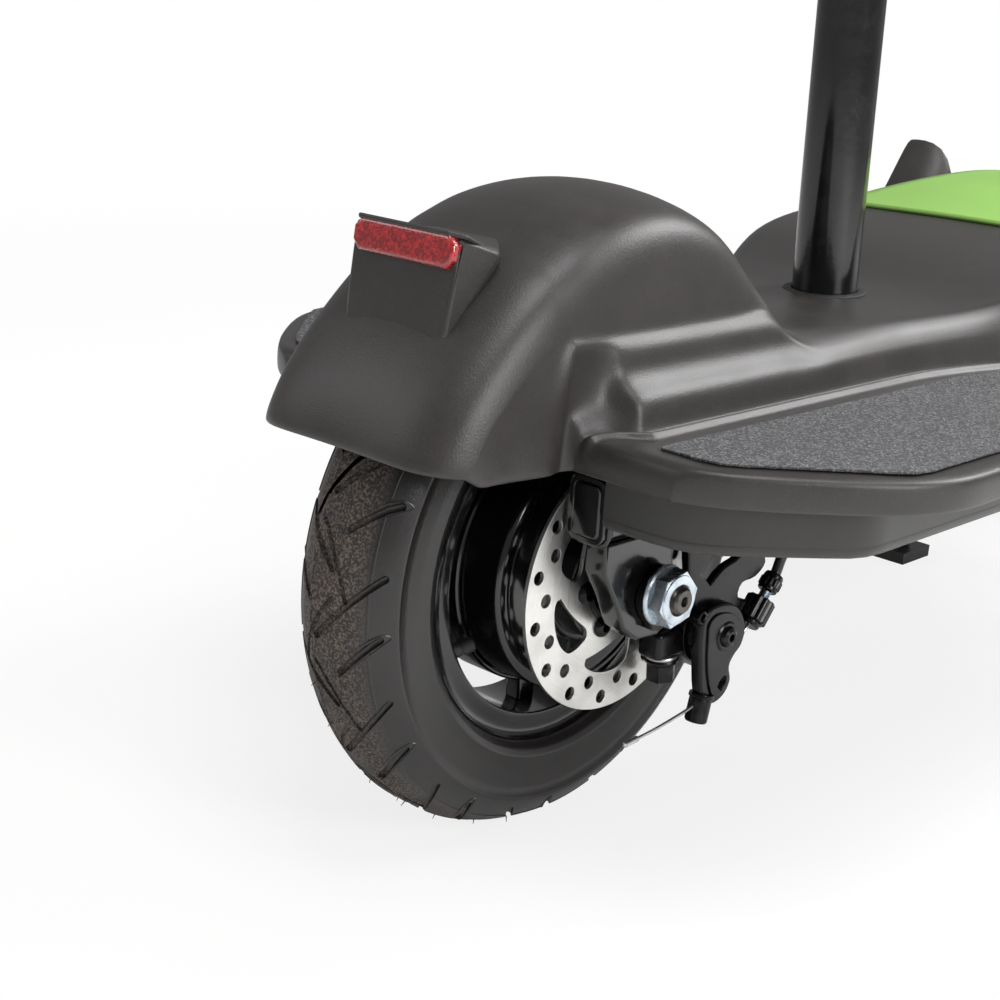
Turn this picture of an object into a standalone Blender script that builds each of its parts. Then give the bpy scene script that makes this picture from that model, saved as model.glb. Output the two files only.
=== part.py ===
"""A seated electric scooter: a faired deck over a steel frame, a hub motor with a disc brake behind,
and a raked telescoping steering column in front. Metres, +Z up, +Y forward; the origin is on the ground
at mid-wheelbase."""

import math

import bmesh
import bpy
from mathutils import Matrix, Vector

# Wheels
WHEELBASE = 0.860
TYRE_RADIUS = 0.1275
TYRE_HALF_WIDTH = 0.027
RIM_FLANGE_RADIUS = 0.084
RIM_HALF_WIDTH = 0.020
RIM_WALL = 0.0025
BARREL_RADIUS = 0.072
WHEEL_SIDES = 28
SPOKE_COUNT = 6
SPOKE_WIDTH = 0.018
DRUM_RADIUS = 0.0570
DRUM_HALF_WIDTH = 0.030
DRUM_WALL = 0.003
SLEEVE_WALL = 0.0022
SLEEVE_HALF = 0.010
SPOKE_PHASE = 0.7
BOSS_RADIUS = 0.029
HUB_RADIUS = 0.023
FRONT_HUB_HALF = 0.033
AXLE_RADIUS = 0.006
STATOR_RADIUS = 0.050
STATOR_HALF_WIDTH = 0.018

# Disc brake
ROTOR_RADIUS = 0.060
ROTOR_BORE = 0.017
ROTOR_X = 0.0498
ROTOR_THICKNESS = 0.0020
ROTOR_HOLES = 15
ROTOR_HOLE_RADIUS = 0.0030
ROTOR_OUTER_RING = 0.0543
ROTOR_INNER_RING = 0.0478
ROTOR_SLOTS = 6
BOLT_CIRCLE = 0.0220
BOLT_HEAD_RADIUS = 0.0050
BOLT_HEAD_HEIGHT = 0.0028
CALIPER_Y = 0.0425
CALIPER_Z = -0.0275
PIVOT_Y = 0.0425
PIVOT_Z = -0.0275
ARM_X = 0.0770
ARM_THICKNESS = 0.0060
PAD_THICKNESS = 0.0030
PAD_RADIUS = 0.0105
CABLE_RADIUS = 0.0025
CABLE_X = 0.0768
CABLE_START_Y = 0.082
CABLE_START_Z = -0.008
CABLE_RISE_Y = 0.010
CABLE_RISE_Z = 0.012
STOP_LENGTH = 0.025
CABLE_RUN_Z = 0.0185

# Frame
RAIL_X = 0.0622
RAIL_WIDTH = 0.020
RAIL_BOTTOM = 0.0275
RAIL_TOP = 0.056
RAIL_REAR_Y = -0.040
RAIL_FRONT_Y = WHEELBASE - 0.245
TUBE_WALL = 0.003
DROPOUT_X = 0.064
DROPOUT_THICKNESS = 0.012
CROSS_REAR_Y = 0.217
CROSS_FRONT_Y = RAIL_FRONT_Y - 0.015
CROSS_WIDTH = 0.030
SEAT_TUBE_RADIUS = 0.017
SEAT_TUBE_Y = 0.2158
SEAT_TUBE_REF_Z = 0.086
SEAT_TUBE_TOP = 0.370
SEAT_DECK_Z = 0.098
SEAT_LEAN = math.radians(2.2)
TRIM_RADIUS = 0.0215
TRIM_HEIGHT = 0.0025
SEAT_POST_RADIUS = 0.0142
SEAT_POST_TOP = 0.540
SADDLE_LENGTH = 0.250
SADDLE_WIDTH = 0.200
CUSHION_HEIGHT = 0.060

# Steering
RAKE = math.radians(16)
STEER_FOOT_Y = WHEELBASE - 0.020
FENDER_RADIUS = TYRE_RADIUS + 0.0135
CROWN_LOW = FENDER_RADIUS + 0.011
HEAD_LOW = CROWN_LOW + 0.028
HEAD_HIGH = HEAD_LOW + 0.112
NECK_AT = HEAD_LOW + 0.052
HEAD_RADIUS = 0.022
STEERER_RADIUS = 0.0150
COLUMN_RADIUS = 0.0215
COLUMN_TOP = 0.560
COLUMN_BORE = 0.0175
STEM_LOW = 0.440
STEM_HIGH = 0.905
BAR_AT = 0.920
BAR_RADIUS = 0.011
BAR_HALF_WIDTH = 0.290
FORK_LEG_X = 0.046
FORK_LEG_RADIUS = 0.012
FENDER_HALF_WIDTH = 0.033
GRIP_LENGTH = 0.115
GRIP_RADIUS = 0.0165
LEVER_LENGTH = 0.105

# Bodywork
SHELL_WALL = 0.003
WING_HALF_WIDTH = 0.191
WING_Z = 0.0755
SKIRT_DEPTH = 0.0155
TRAY_BOTTOM = 0.038
TRAY_INNER_X = 0.076
TRAY_OUTER_X = 0.165
TRAY_FRONT_Y = RAIL_FRONT_Y - 0.115
TRAY_CLEARANCE = 0.0008
PAN_THICKNESS = 0.003
TAPE_THICKNESS = 0.0010
COVER_THICKNESS = 0.0025
STAND_Y = RAIL_FRONT_Y - 0.135
STAND_PIVOT_Z = -0.004
STAND_FOOT_X = 0.092
STAND_TUBE_RADIUS = 0.008
REFLECTOR_LENGTH = 0.056
WEDGE_WIDTH = 0.060
DECK_BACK_Y = SEAT_TUBE_Y + 0.0492
COWL_BACK_Y = RAIL_FRONT_Y - 0.075
PAN_REAR_Y = 0.150
PACK_FRONT_Y = RAIL_FRONT_Y - 0.045
CONTROLLER_SIZE = (0.070, 0.090, 0.038)
CONTROLLER_Y = SEAT_TUBE_Y + 0.0692
PACK_WIDTH = 0.092
PACK_HEIGHT = 0.055

# Clearances
GAP = 0.0003
RUNNING_GAP = 0.0010

REAR_Y = -WHEELBASE / 2
AXLE_Z = TYRE_RADIUS
NUT_INNER_X = DROPOUT_X + DROPOUT_THICKNESS / 2 + 0.0052
NUT_WIDTH = 0.0095
AXLE_END_X = NUT_INNER_X + NUT_WIDTH + 0.0025

for old in list(bpy.data.objects):
    bpy.data.objects.remove(old, do_unlink=True)

parts = bpy.data.collections.new("electric_scooter")
tools = bpy.data.collections.new("cutters")
bpy.context.scene.collection.children.link(parts)
bpy.context.scene.collection.children.link(tools)


def material(name, colour, roughness, metallic=0.0):
    """A Principled material from an sRGB colour written as six hex digits."""
    shade = bpy.data.materials.new(name)
    shade.use_nodes = True
    channels = [int(colour[i : i + 2], 16) / 255 for i in (0, 2, 4)]
    linear = [c / 12.92 if c <= 0.04045 else ((c + 0.055) / 1.055) ** 2.4 for c in channels]
    node = shade.node_tree.nodes["Principled BSDF"]
    node.inputs["Base Color"].default_value = (*linear, 1.0)
    node.inputs["Roughness"].default_value = roughness
    node.inputs["Metallic"].default_value = metallic
    return shade


def rear(x, y, z):
    """A world point from its place relative to the centre of the rear axle."""
    return Vector((x, REAR_Y + y, AXLE_Z + z))


def steer(s, x=0.0, ahead=0.0):
    """A world point s along the steering axis from axle height, x to the side, ahead square to it."""
    foot = rear(x, STEER_FOOT_Y, 0)
    along = Vector((0, -math.sin(RAKE), math.cos(RAKE)))
    forward = Vector((0, math.cos(RAKE), math.sin(RAKE)))
    return foot + along * s + forward * ahead


def seat_line(z, x=0.0, ahead=0.0):
    """A world point on the seat tube's leaning centre line at a height above the rear axle."""
    return rear(x, SEAT_TUBE_Y - math.tan(SEAT_LEAN) * (z - SEAT_TUBE_REF_Z) + ahead, z)


def add(name, data, shade, collection=parts):
    data.materials.append(shade)
    obj = bpy.data.objects.new(name, data)
    collection.objects.link(obj)
    return obj


def mesh_object(name, bm, shade, collection=parts, smooth=True):
    """Turns a bmesh into a named object, with creases kept sharp past 40 degrees."""
    bmesh.ops.recalc_face_normals(bm, faces=bm.faces)
    mesh = bpy.data.meshes.new(name)
    bm.to_mesh(mesh)
    bm.free()
    if smooth:
        mesh.shade_smooth()
        mesh.set_sharp_from_angle(angle=math.radians(40))
    return add(name, mesh, shade, collection)


def aim(obj, origin, direction):
    """Sets an object's local Z along a world direction, at an origin."""
    turn = Vector(direction).to_track_quat("Z", "Y")
    obj.matrix_world = Matrix.Translation(origin) @ turn.to_matrix().to_4x4()
    return obj


def bevel(obj, width, segments=2, angle=40):
    mod = obj.modifiers.new("rounded edges", "BEVEL")
    mod.width = width
    mod.segments = segments
    mod.limit_method = "ANGLE"
    mod.angle_limit = math.radians(angle)
    return obj


def box(name, size, centre, shade, rounded=0.0, collection=parts):
    bm = bmesh.new()
    bmesh.ops.create_cube(bm, size=1.0)
    bmesh.ops.scale(bm, vec=size, verts=bm.verts)
    obj = mesh_object(name, bm, shade, collection, smooth=False)
    obj.location = centre
    return bevel(obj, rounded) if rounded else obj


def rod(name, radius, start, end, shade, sides=24, collection=parts):
    """A solid cylinder between two world points."""
    start, end = Vector(start), Vector(end)
    bm = bmesh.new()
    bmesh.ops.create_cone(
        bm, cap_ends=True, segments=sides, radius1=radius, radius2=radius, depth=(end - start).length
    )
    obj = mesh_object(name, bm, shade, collection)
    return aim(obj, (start + end) / 2, end - start)


def turned(name, profile, origin, direction, shade, steps=32, closed=True, collection=parts):
    """Turns a profile of (radius, height) points about a world axis. A closed profile makes a ring."""
    bm = bmesh.new()
    verts = [bm.verts.new((radius, 0, height)) for radius, height in profile]
    for first, second in zip(verts, verts[1:]):
        bm.edges.new((first, second))
    if closed:
        bm.edges.new((verts[-1], verts[0]))
    mesh = bpy.data.meshes.new(name)
    bm.to_mesh(mesh)
    bm.free()
    obj = add(name, mesh, shade, collection)
    mod = obj.modifiers.new("turn", "SCREW")
    mod.steps = steps
    mod.render_steps = steps
    mod.use_merge_vertices = True
    mod.merge_threshold = 0.00001
    mod.use_smooth_shade = True
    return aim(obj, origin, direction)


def pipe(name, outer, inner, start, end, shade, steps=24, collection=parts):
    """A tube with a bore between two world points."""
    start, end = Vector(start), Vector(end)
    length = (end - start).length
    profile = [(outer, length), (outer, 0), (inner, 0), (inner, length)]
    return turned(name, profile, start, end - start, shade, steps, collection=collection)


def outline(name, loops, thickness, shade, collection=parts):
    """A flat plate in local XY from an outer loop and its holes, as thick as asked."""
    curve = bpy.data.curves.new(name, "CURVE")
    curve.dimensions = "2D"
    curve.fill_mode = "BOTH"
    curve.extrude = thickness / 2
    for loop in loops:
        spline = curve.splines.new("POLY")
        spline.points.add(len(loop) - 1)
        for point, (x, y) in zip(spline.points, loop):
            point.co = (x, y, 0, 1)
        spline.use_cyclic_u = True
    return add(name, curve, shade, collection)


def side_plate(name, loops, thickness, x, shade, collection=parts):
    """A plate square to X, from loops of (y, z) about the rear axle."""
    flipped = [[(-z, y) for y, z in loop] for loop in loops]
    obj = outline(name, flipped, thickness, shade, collection)
    obj.matrix_world = Matrix.Translation(rear(x, 0, 0)) @ Matrix.Rotation(math.pi / 2, 4, "Y")
    return obj


def circle(radius, sides, x=0.0, y=0.0):
    angles = [2 * math.pi * k / sides for k in range(sides)]
    return [(x + radius * math.cos(a), y + radius * math.sin(a)) for a in angles]


def smooth_path(points, per_span=4):
    """A Catmull-Rom curve through the points, read at even steps."""
    ends = [points[0] * 2 - points[1], *points, points[-1] * 2 - points[-2]]
    path = []
    for a, b, c, d in zip(ends, ends[1:], ends[2:], ends[3:]):
        for k in range(per_span):
            t = k / per_span
            bend = (2 * a - 5 * b + 4 * c - d) * t**2 + (3 * b - a - 3 * c + d) * t**3
            path.append(0.5 * (2 * b + (c - a) * t + bend))
    return [*path, points[-1]]


def bent_tube(name, points, radius, shade, resolution=2, per_span=4, collection=parts):
    curve = bpy.data.curves.new(name, "CURVE")
    curve.dimensions = "3D"
    curve.bevel_depth = radius
    curve.bevel_resolution = resolution
    curve.use_fill_caps = True
    path = smooth_path([Vector(p) for p in points], per_span)
    spline = curve.splines.new("POLY")
    spline.points.add(len(path) - 1)
    for point, place in zip(spline.points, path):
        point.co = (*place, 1)
    return add(name, curve, shade, collection)


def as_mesh(obj):
    """Makes a curve, or an object with modifiers, a plain welded mesh under the same name."""
    bpy.context.view_layer.update()
    name, place, shade = obj.name, obj.matrix_world.copy(), obj.data.materials[0]
    home = obj.users_collection[0]
    graph = bpy.context.evaluated_depsgraph_get()
    mesh = bpy.data.meshes.new_from_object(obj.evaluated_get(graph))
    bm = bmesh.new()
    bm.from_mesh(mesh)
    bmesh.ops.remove_doubles(bm, verts=bm.verts, dist=0.00001)
    bmesh.ops.recalc_face_normals(bm, faces=bm.faces)
    bm.to_mesh(mesh)
    bm.free()
    bpy.data.objects.remove(obj, do_unlink=True)
    mesh.materials.clear()
    made = add(name, mesh, shade, home)
    made.matrix_world = place
    return made


def combine(target, tool, operation):
    mod = target.modifiers.new(operation.lower(), "BOOLEAN")
    mod.operation = operation
    mod.object = tool
    tool.hide_render = True
    tool.display_type = "WIRE"
    return target


def join(target, *tools_used):
    for tool in tools_used:
        combine(target, tool, "UNION")
    return target


def cut(target, *tools_used):
    for tool in tools_used:
        combine(target, tool, "DIFFERENCE")
    return target


matt_shell = material("matt_shell", "3B3836", 0.55)
tray_black = material("tray_black", "2A2827", 0.5)
gloss_black = material("gloss_black", "0E0D0E", 0.2)
frame_black = material("frame_black", "161515", 0.35)
cover_green = material("cover_green", "AADE7A", 0.45)
tape_grey = material("tape_grey", "5A5858", 0.95)
tyre_rubber = material("tyre_rubber", "2C2B2A", 0.75)
steel = material("steel", "C9CBCE", 0.25, 1.0)
zinc = material("zinc", "B7C0C6", 0.3, 1.0)
black_alloy = material("black_alloy", "1C1B1B", 0.4, 0.6)
red_lens = material("red_lens", "B01218", 0.15)
soft_black = material("soft_black", "1E1E1F", 0.8)
clear_lens = material("clear_lens", "E8ECEE", 0.1)
pack_blue = material("pack_blue", "2E5C8A", 0.5)
cable_black = material("cable_black", "151515", 0.5)


def tyre(name, centre):
    """The tyre's C section: tread, sidewalls and two beads around an open air space."""
    bead_x = RIM_HALF_WIDTH - RIM_WALL - GAP
    bead_r = RIM_FLANGE_RADIUS - 0.0053
    half = TYRE_HALF_WIDTH
    outer = [
        (TYRE_RADIUS, 0.0),
        (TYRE_RADIUS - 0.0012, 0.009),
        (TYRE_RADIUS - 0.0050, 0.017),
        (TYRE_RADIUS - 0.0125, 0.0245),
        (TYRE_RADIUS - 0.0225, half),
        (TYRE_RADIUS - 0.0335, half - 0.0015),
        (RIM_FLANGE_RADIUS + 0.0008, RIM_HALF_WIDTH + 0.0005),
        (RIM_FLANGE_RADIUS + 0.0006, bead_x),
        (bead_r, bead_x),
        (bead_r, bead_x - 0.0045),
        (RIM_FLANGE_RADIUS + 0.002, bead_x - 0.0035),
        (TYRE_RADIUS - 0.0270, half - 0.0050),
        (TYRE_RADIUS - 0.0120, 0.016),
    ]
    inner_top = [(TYRE_RADIUS - 0.0075, 0.0)]
    lower = [(radius, -x) for radius, x in reversed(outer[1:])]
    profile = [*reversed(outer[1:]), outer[0], *reversed(lower), *inner_top]
    return turned(name, profile, centre, (1, 0, 0), tyre_rubber, steps=WHEEL_SIDES)


def rim_ring(name, centre):
    """The rim's well and flanges, with a flat inner barrel."""
    half, wall = RIM_HALF_WIDTH, RIM_WALL
    seat = RIM_FLANGE_RADIUS - 0.0053 - GAP
    well = BARREL_RADIUS + 0.003
    side = [
        (BARREL_RADIUS, half - 0.001),
        (RIM_FLANGE_RADIUS, half),
        (RIM_FLANGE_RADIUS, half - wall),
        (seat, half - wall),
        (seat, half - 0.0085),
        (well, half - 0.0105),
    ]
    profile = side + [(radius, -x) for radius, x in reversed(side)]
    return turned(name, profile, centre, (1, 0, 0), gloss_black, steps=WHEEL_SIDES)


def wheel(name, centre, sleeve_inner, sleeve_outer, half):
    """A rim joined by short spokes to the sleeve that grips its hub."""
    ring = as_mesh(rim_ring(name, centre))
    offset = Vector((half, 0, 0))
    ends = (centre - offset, centre + offset)
    sleeve = pipe(f"{name} sleeve", sleeve_outer, sleeve_inner, *ends, gloss_black, WHEEL_SIDES, tools)
    joined = join(ring, as_mesh(sleeve))
    inner_end = sleeve_outer - 0.001
    outer_end = BARREL_RADIUS + 0.001
    for k in range(SPOKE_COUNT):
        turn = Matrix.Rotation(2 * math.pi * (k + SPOKE_PHASE) / SPOKE_COUNT, 4, "X")
        size = (0.024, SPOKE_WIDTH, outer_end - inner_end)
        spoke = box(f"{name} spoke {k}", size, (0, 0, 0), gloss_black, 0, tools)
        place = Matrix.Translation(centre) @ turn
        spoke.matrix_world = place @ Matrix.Translation((0, 0, (outer_end + inner_end) / 2))
        joined = join(joined, spoke)
    return joined


def rear_wheel():
    centre = rear(0, 0, 0)
    tyre("rear_tyre", centre)
    sleeve_bore = DRUM_RADIUS + GAP
    wheel("rear_rim", centre, sleeve_bore, sleeve_bore + SLEEVE_WALL, SLEEVE_HALF)
    bore = AXLE_RADIUS + GAP
    half, wall = DRUM_HALF_WIDTH, DRUM_WALL
    rotor_face = ROTOR_X - ROTOR_THICKNESS / 2 - GAP
    cavity = DRUM_RADIUS - wall
    profile = [
        (bore, rotor_face),
        (BOSS_RADIUS, rotor_face),
        (BOSS_RADIUS, half + 0.004),
        (STATOR_RADIUS, half + 0.004),
        (STATOR_RADIUS + 0.003, half),
        (DRUM_RADIUS, half - 0.001),
        (DRUM_RADIUS, -half + 0.001),
        (STATOR_RADIUS + 0.003, -half),
        (BOSS_RADIUS, -half - 0.006),
        (bore, -half - 0.006),
        (bore, -half + wall),
        (cavity, -half + wall),
        (cavity, half - wall),
        (bore, half - wall),
    ]
    turned("motor_drum", profile, centre, (1, 0, 0), gloss_black, steps=WHEEL_SIDES)
    rotor()


def rotor():
    """The drilled disc, its curved windows and the heads of its fixing bolts."""
    loops = [circle(ROTOR_RADIUS, 48), circle(ROTOR_BORE, 20)]
    step = 2 * math.pi / ROTOR_HOLES
    for ring, phase in ((ROTOR_OUTER_RING, 0.0), (ROTOR_INNER_RING, 0.5)):
        for k in range(ROTOR_HOLES):
            a = step * (k + phase)
            loops.append(circle(ROTOR_HOLE_RADIUS, 6, ring * math.cos(a), ring * math.sin(a)))
    for k in range(ROTOR_SLOTS):
        loops.append(window(2 * math.pi * k / ROTOR_SLOTS))
    disc = outline("brake_rotor", loops, ROTOR_THICKNESS, steel)
    disc.matrix_world = Matrix.Translation(rear(ROTOR_X, 0, 0)) @ Matrix.Rotation(math.pi / 2, 4, "Y")
    disc = as_mesh(disc)
    for k in range(6):
        a = 2 * math.pi * k / 6 + math.radians(5)
        seat = rear(ROTOR_X, BOLT_CIRCLE * math.cos(a), BOLT_CIRCLE * math.sin(a))
        top = seat + Vector((ROTOR_THICKNESS / 2 + BOLT_HEAD_HEIGHT, 0, 0))
        join(disc, rod(f"rotor bolt {k}", BOLT_HEAD_RADIUS, seat, top, black_alloy, 8, tools))


def window(start):
    """One teardrop window between the bolt ring and the drilled band."""
    points = []
    near, far = 0.0295, 0.0415
    for k in range(7):
        t = k / 6
        points.append((far, start + math.radians(4 + 40 * t)))
    for k in range(6):
        t = k / 5
        points.append((near + (far - 0.004 - near) * (1 - t) ** 1.5, start + math.radians(36 - 26 * t)))
    return [(radius * math.cos(a), radius * math.sin(a)) for radius, a in points]


def axle_set():
    """The fixed axle with the stator on it, its torque washers and its nuts."""
    half = STATOR_HALF_WIDTH
    profile = [
        (0, AXLE_END_X),
        (AXLE_RADIUS, AXLE_END_X),
        (AXLE_RADIUS, half),
        (STATOR_RADIUS, half),
        (STATOR_RADIUS, -half),
        (AXLE_RADIUS, -half),
        (AXLE_RADIUS, -AXLE_END_X),
        (0, -AXLE_END_X),
    ]
    turned("rear_axle", profile, rear(0, 0, 0), (1, 0, 0), zinc, steps=24, closed=False)
    for side, name in ((1, "right"), (-1, "left")):
        inner = DROPOUT_X + DROPOUT_THICKNESS / 2 + GAP
        outer = NUT_INNER_X - GAP
        loop = circle(0.0125, 20)
        tongue = [(y, z) if z > -0.009 else (max(-0.005, min(0.005, y)), z * 1.35) for y, z in loop]
        x = side * (inner + outer) / 2
        side_plate(f"torque_washer_{name}", [tongue, circle(AXLE_RADIUS + GAP, 16)], outer - inner, x, zinc)
        nut(f"axle_nut_{name}", side)


def nut(name, side):
    """A flanged hexagon nut with its bore over the axle."""
    start = rear(side * NUT_INNER_X, 0, 0)
    flange = pipe(name, 0.0138, AXLE_RADIUS + GAP, start, start + Vector((side * 0.0025, 0, 0)), zinc, 16)
    loops = [circle(0.0130, 6), circle(AXLE_RADIUS + GAP + 0.0001, 16)]
    middle_x = side * (NUT_INNER_X + NUT_WIDTH / 2)
    hexagon = side_plate(f"{name} hexagon", loops, NUT_WIDTH - 0.002, middle_x, zinc, tools)
    return join(as_mesh(flange), as_mesh(hexagon))


def dropouts():
    """Thick plates under the rails that hold the axle."""
    top = RAIL_BOTTOM - GAP
    loop = [
        (-0.034, top),
        (-0.034, 0.014),
        (-0.024, -0.002),
        (-0.018, -0.014),
        (-0.008, -0.021),
        (0.006, -0.022),
        (0.015, -0.016),
        (0.016, 0.000),
        (0.012, 0.014),
        (0.012, top),
    ]
    for side, name in ((1, "right"), (-1, "left")):
        loops = [loop[::-1], circle(AXLE_RADIUS + GAP, 20)]
        side_plate(f"dropout_{name}", loops, DROPOUT_THICKNESS, side * DROPOUT_X, frame_black)


def rails():
    """Two box-section rails, their cross tubes and the sloping neck up to the head tube."""
    height = RAIL_TOP - RAIL_BOTTOM
    length = RAIL_FRONT_Y - RAIL_REAR_Y
    middle = (RAIL_FRONT_Y + RAIL_REAR_Y) / 2
    for side, name in ((1, "right"), (-1, "left")):
        centre = rear(side * RAIL_X, middle, (RAIL_TOP + RAIL_BOTTOM) / 2)
        rail = box(f"rail_{name}", (RAIL_WIDTH, length, height), centre, frame_black, 0.003)
        hollow = (RAIL_WIDTH - 2 * TUBE_WALL, length - 0.006, height - 2 * TUBE_WALL)
        inner = box(f"rail hollow {name}", hollow, centre + Vector((0, 0.004, 0)), frame_black, 0, tools)
        cut(rail, inner)
    width = 2 * (RAIL_X - RAIL_WIDTH / 2 - GAP)
    for y, name in ((CROSS_REAR_Y, "rear"), (CROSS_FRONT_Y, "front")):
        centre = rear(0, y, RAIL_BOTTOM + CROSS_WIDTH / 2)
        tube = box(f"cross_tube_{name}", (width, CROSS_WIDTH, CROSS_WIDTH), centre, frame_black, 0.002)
        bore = (width + 0.01, CROSS_WIDTH - 2 * TUBE_WALL, CROSS_WIDTH - 2 * TUBE_WALL)
        cut(tube, box(f"cross bore {name}", bore, centre, frame_black, 0, tools))
    top = RAIL_BOTTOM + CROSS_WIDTH + GAP
    neck_foot = rear(0, CROSS_FRONT_Y - 0.005, top - 0.015)
    neck = rod("neck_tube", 0.020, neck_foot, steer(NECK_AT), frame_black, 28)
    under = box("neck foot", (0.1, 0.2, 0.1), rear(0, CROSS_FRONT_Y, top - 0.05), frame_black, 0, tools)
    mouth_ends = (steer(HEAD_LOW - 0.1), steer(HEAD_HIGH + 0.1))
    beyond = rod("neck mouth", HEAD_RADIUS + GAP, *mouth_ends, frame_black, 32, tools)
    cut(neck, under, beyond)
    pipe("head_tube", HEAD_RADIUS, STEERER_RADIUS + GAP, steer(HEAD_LOW), steer(HEAD_HIGH), frame_black, 28)


def seat():
    """The fixed seat tube, its clamp and the post that slides in it."""
    foot = RAIL_BOTTOM + CROSS_WIDTH + GAP
    inner = SEAT_POST_RADIUS + GAP
    tube_ends = (seat_line(foot + 0.0008), seat_line(SEAT_TUBE_TOP))
    pipe("seat_tube", SEAT_TUBE_RADIUS, inner, *tube_ends, gloss_black, 32)
    ring_low = seat_line(SEAT_DECK_Z + GAP)
    ring_high = ring_low + Vector((0, 0, TRIM_HEIGHT))
    pipe("seat_tube_ring", TRIM_RADIUS, SEAT_TUBE_RADIUS + 2 * GAP, ring_low, ring_high, soft_black, 32)
    clamp = pipe(
        "seat_clamp",
        0.0215,
        SEAT_TUBE_RADIUS + GAP,
        seat_line(SEAT_TUBE_TOP - 0.022),
        seat_line(SEAT_TUBE_TOP - 0.001),
        black_alloy,
        28,
    )
    lug_at = seat_line(SEAT_TUBE_TOP - 0.0115, 0.0072, -0.0255)
    lug = box("clamp lug", (0.0290, 0.016, 0.018), lug_at, black_alloy, 0, tools)
    join(as_mesh(clamp), lug)
    lever_at = seat_line(SEAT_TUBE_TOP - 0.0115, 0.0217 + GAP + 0.003, -0.0275)
    lever("seat_clamp_lever", lever_at, 0.006, 0.052)
    rod("seat_post", SEAT_POST_RADIUS, seat_line(0.200), seat_line(SEAT_POST_TOP), steel, 28)
    top = seat_line(SEAT_POST_TOP + 3 * GAP)
    centre = top + Vector((0, 0.010, 0.006))
    box("saddle_pan", (SADDLE_WIDTH * 0.85, SADDLE_LENGTH * 0.9, 0.0118), centre, soft_black, 0.003)
    soft = box(
        "saddle_cushion",
        (SADDLE_WIDTH, SADDLE_LENGTH, CUSHION_HEIGHT),
        centre + Vector((0, 0, 0.006 + GAP + CUSHION_HEIGHT / 2)),
        soft_black,
    )
    bevel(soft, 0.022, 4)


def lever(name, pivot, thickness, length, tilt=0.0):
    """A quick-release lever square to X that turns about its pivot, along +Y before its tilt."""
    loop = [
        (-0.007, -0.005),
        (0.006, -0.007),
        (length, -0.0045),
        (length + 0.003, 0.0),
        (length, 0.0045),
        (0.006, 0.007),
        (-0.007, 0.005),
    ]
    plate = outline(name, [[(-z, y) for y, z in loop]], thickness, black_alloy)
    turn = Matrix.Rotation(tilt, 4, "X") @ Matrix.Rotation(math.pi / 2, 4, "Y")
    plate.matrix_world = Matrix.Translation(pivot) @ turn
    return plate


def brake():
    """The mechanical caliper over the rotor's lower front edge, its arm, pads and cable."""
    centre_x = ROTOR_X
    outer_x = ROTOR_X + ROTOR_THICKNESS / 2
    inner_end = rear(outer_x + PAD_THICKNESS + 0.0015, CALIPER_Y, CALIPER_Z)
    outer_end = rear(DROPOUT_X + DROPOUT_THICKNESS / 2, CALIPER_Y, CALIPER_Z)
    body = rod("caliper_body", 0.0165, inner_end, outer_end, black_alloy, 24)
    radial = math.hypot(CALIPER_Y, CALIPER_Z)
    away = Vector((0, CALIPER_Y / radial, CALIPER_Z / radial))
    bridge = box("caliper bridge", (0.032, 0.016, 0.030), (0, 0, 0), black_alloy, 0, tools)
    bridge_at = rear(0.0515, 0, 0) + away * (ROTOR_RADIUS + 0.0100)
    angle = math.atan2(CALIPER_Z, CALIPER_Y)
    bridge.matrix_world = Matrix.Translation(bridge_at) @ Matrix.Rotation(angle, 4, "X")
    anvil = box("caliper anvil", (0.0070, 0.034, 0.026), (0, 0, 0), black_alloy, 0, tools)
    anvil_x = ROTOR_X - ROTOR_THICKNESS / 2 - PAD_THICKNESS - 0.0015 - 0.0035
    anvil_at = rear(anvil_x, 0, 0) + away * (radial + 0.006)
    anvil.matrix_world = Matrix.Translation(anvil_at) @ Matrix.Rotation(angle, 4, "X")
    join(body, bridge, anvil)
    pad_centre = away * (ROTOR_RADIUS - PAD_RADIUS - 0.0005)
    side = ROTOR_THICKNESS / 2 + 0.0008
    for name, sign in (("brake_pad_fixed", -1), ("brake_pad_moving", 1)):
        start = rear(centre_x + sign * side, 0, 0) + pad_centre
        rod(name, PAD_RADIUS, start, start + Vector((sign * PAD_THICKNESS, 0, 0)), soft_black, 20)
    arm()
    bracket()
    cable_route = [
        rear(CABLE_X, CABLE_START_Y, CABLE_START_Z),
        rear(CABLE_X, CABLE_START_Y + CABLE_RISE_Y, CABLE_START_Z + CABLE_RISE_Z),
        rear(0.0760, 0.132, 0.008),
        rear(0.0560, 0.170, 0.0165),
        rear(0.0380, 0.230, CABLE_RUN_Z),
        rear(0.0380, 0.400, CABLE_RUN_Z),
        rear(0.0380, RAIL_FRONT_Y + 0.017, CABLE_RUN_Z),
        rear(0.0400, RAIL_FRONT_Y + 0.053, 0.0450),
        rear(0.0440, RAIL_FRONT_Y + 0.085, 0.1000),
        rear(0.0400, RAIL_FRONT_Y + 0.100, 0.1500),
    ]
    bent_tube("rear_brake_cable", cable_route, CABLE_RADIUS, cable_black, resolution=2, per_span=4)


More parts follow.
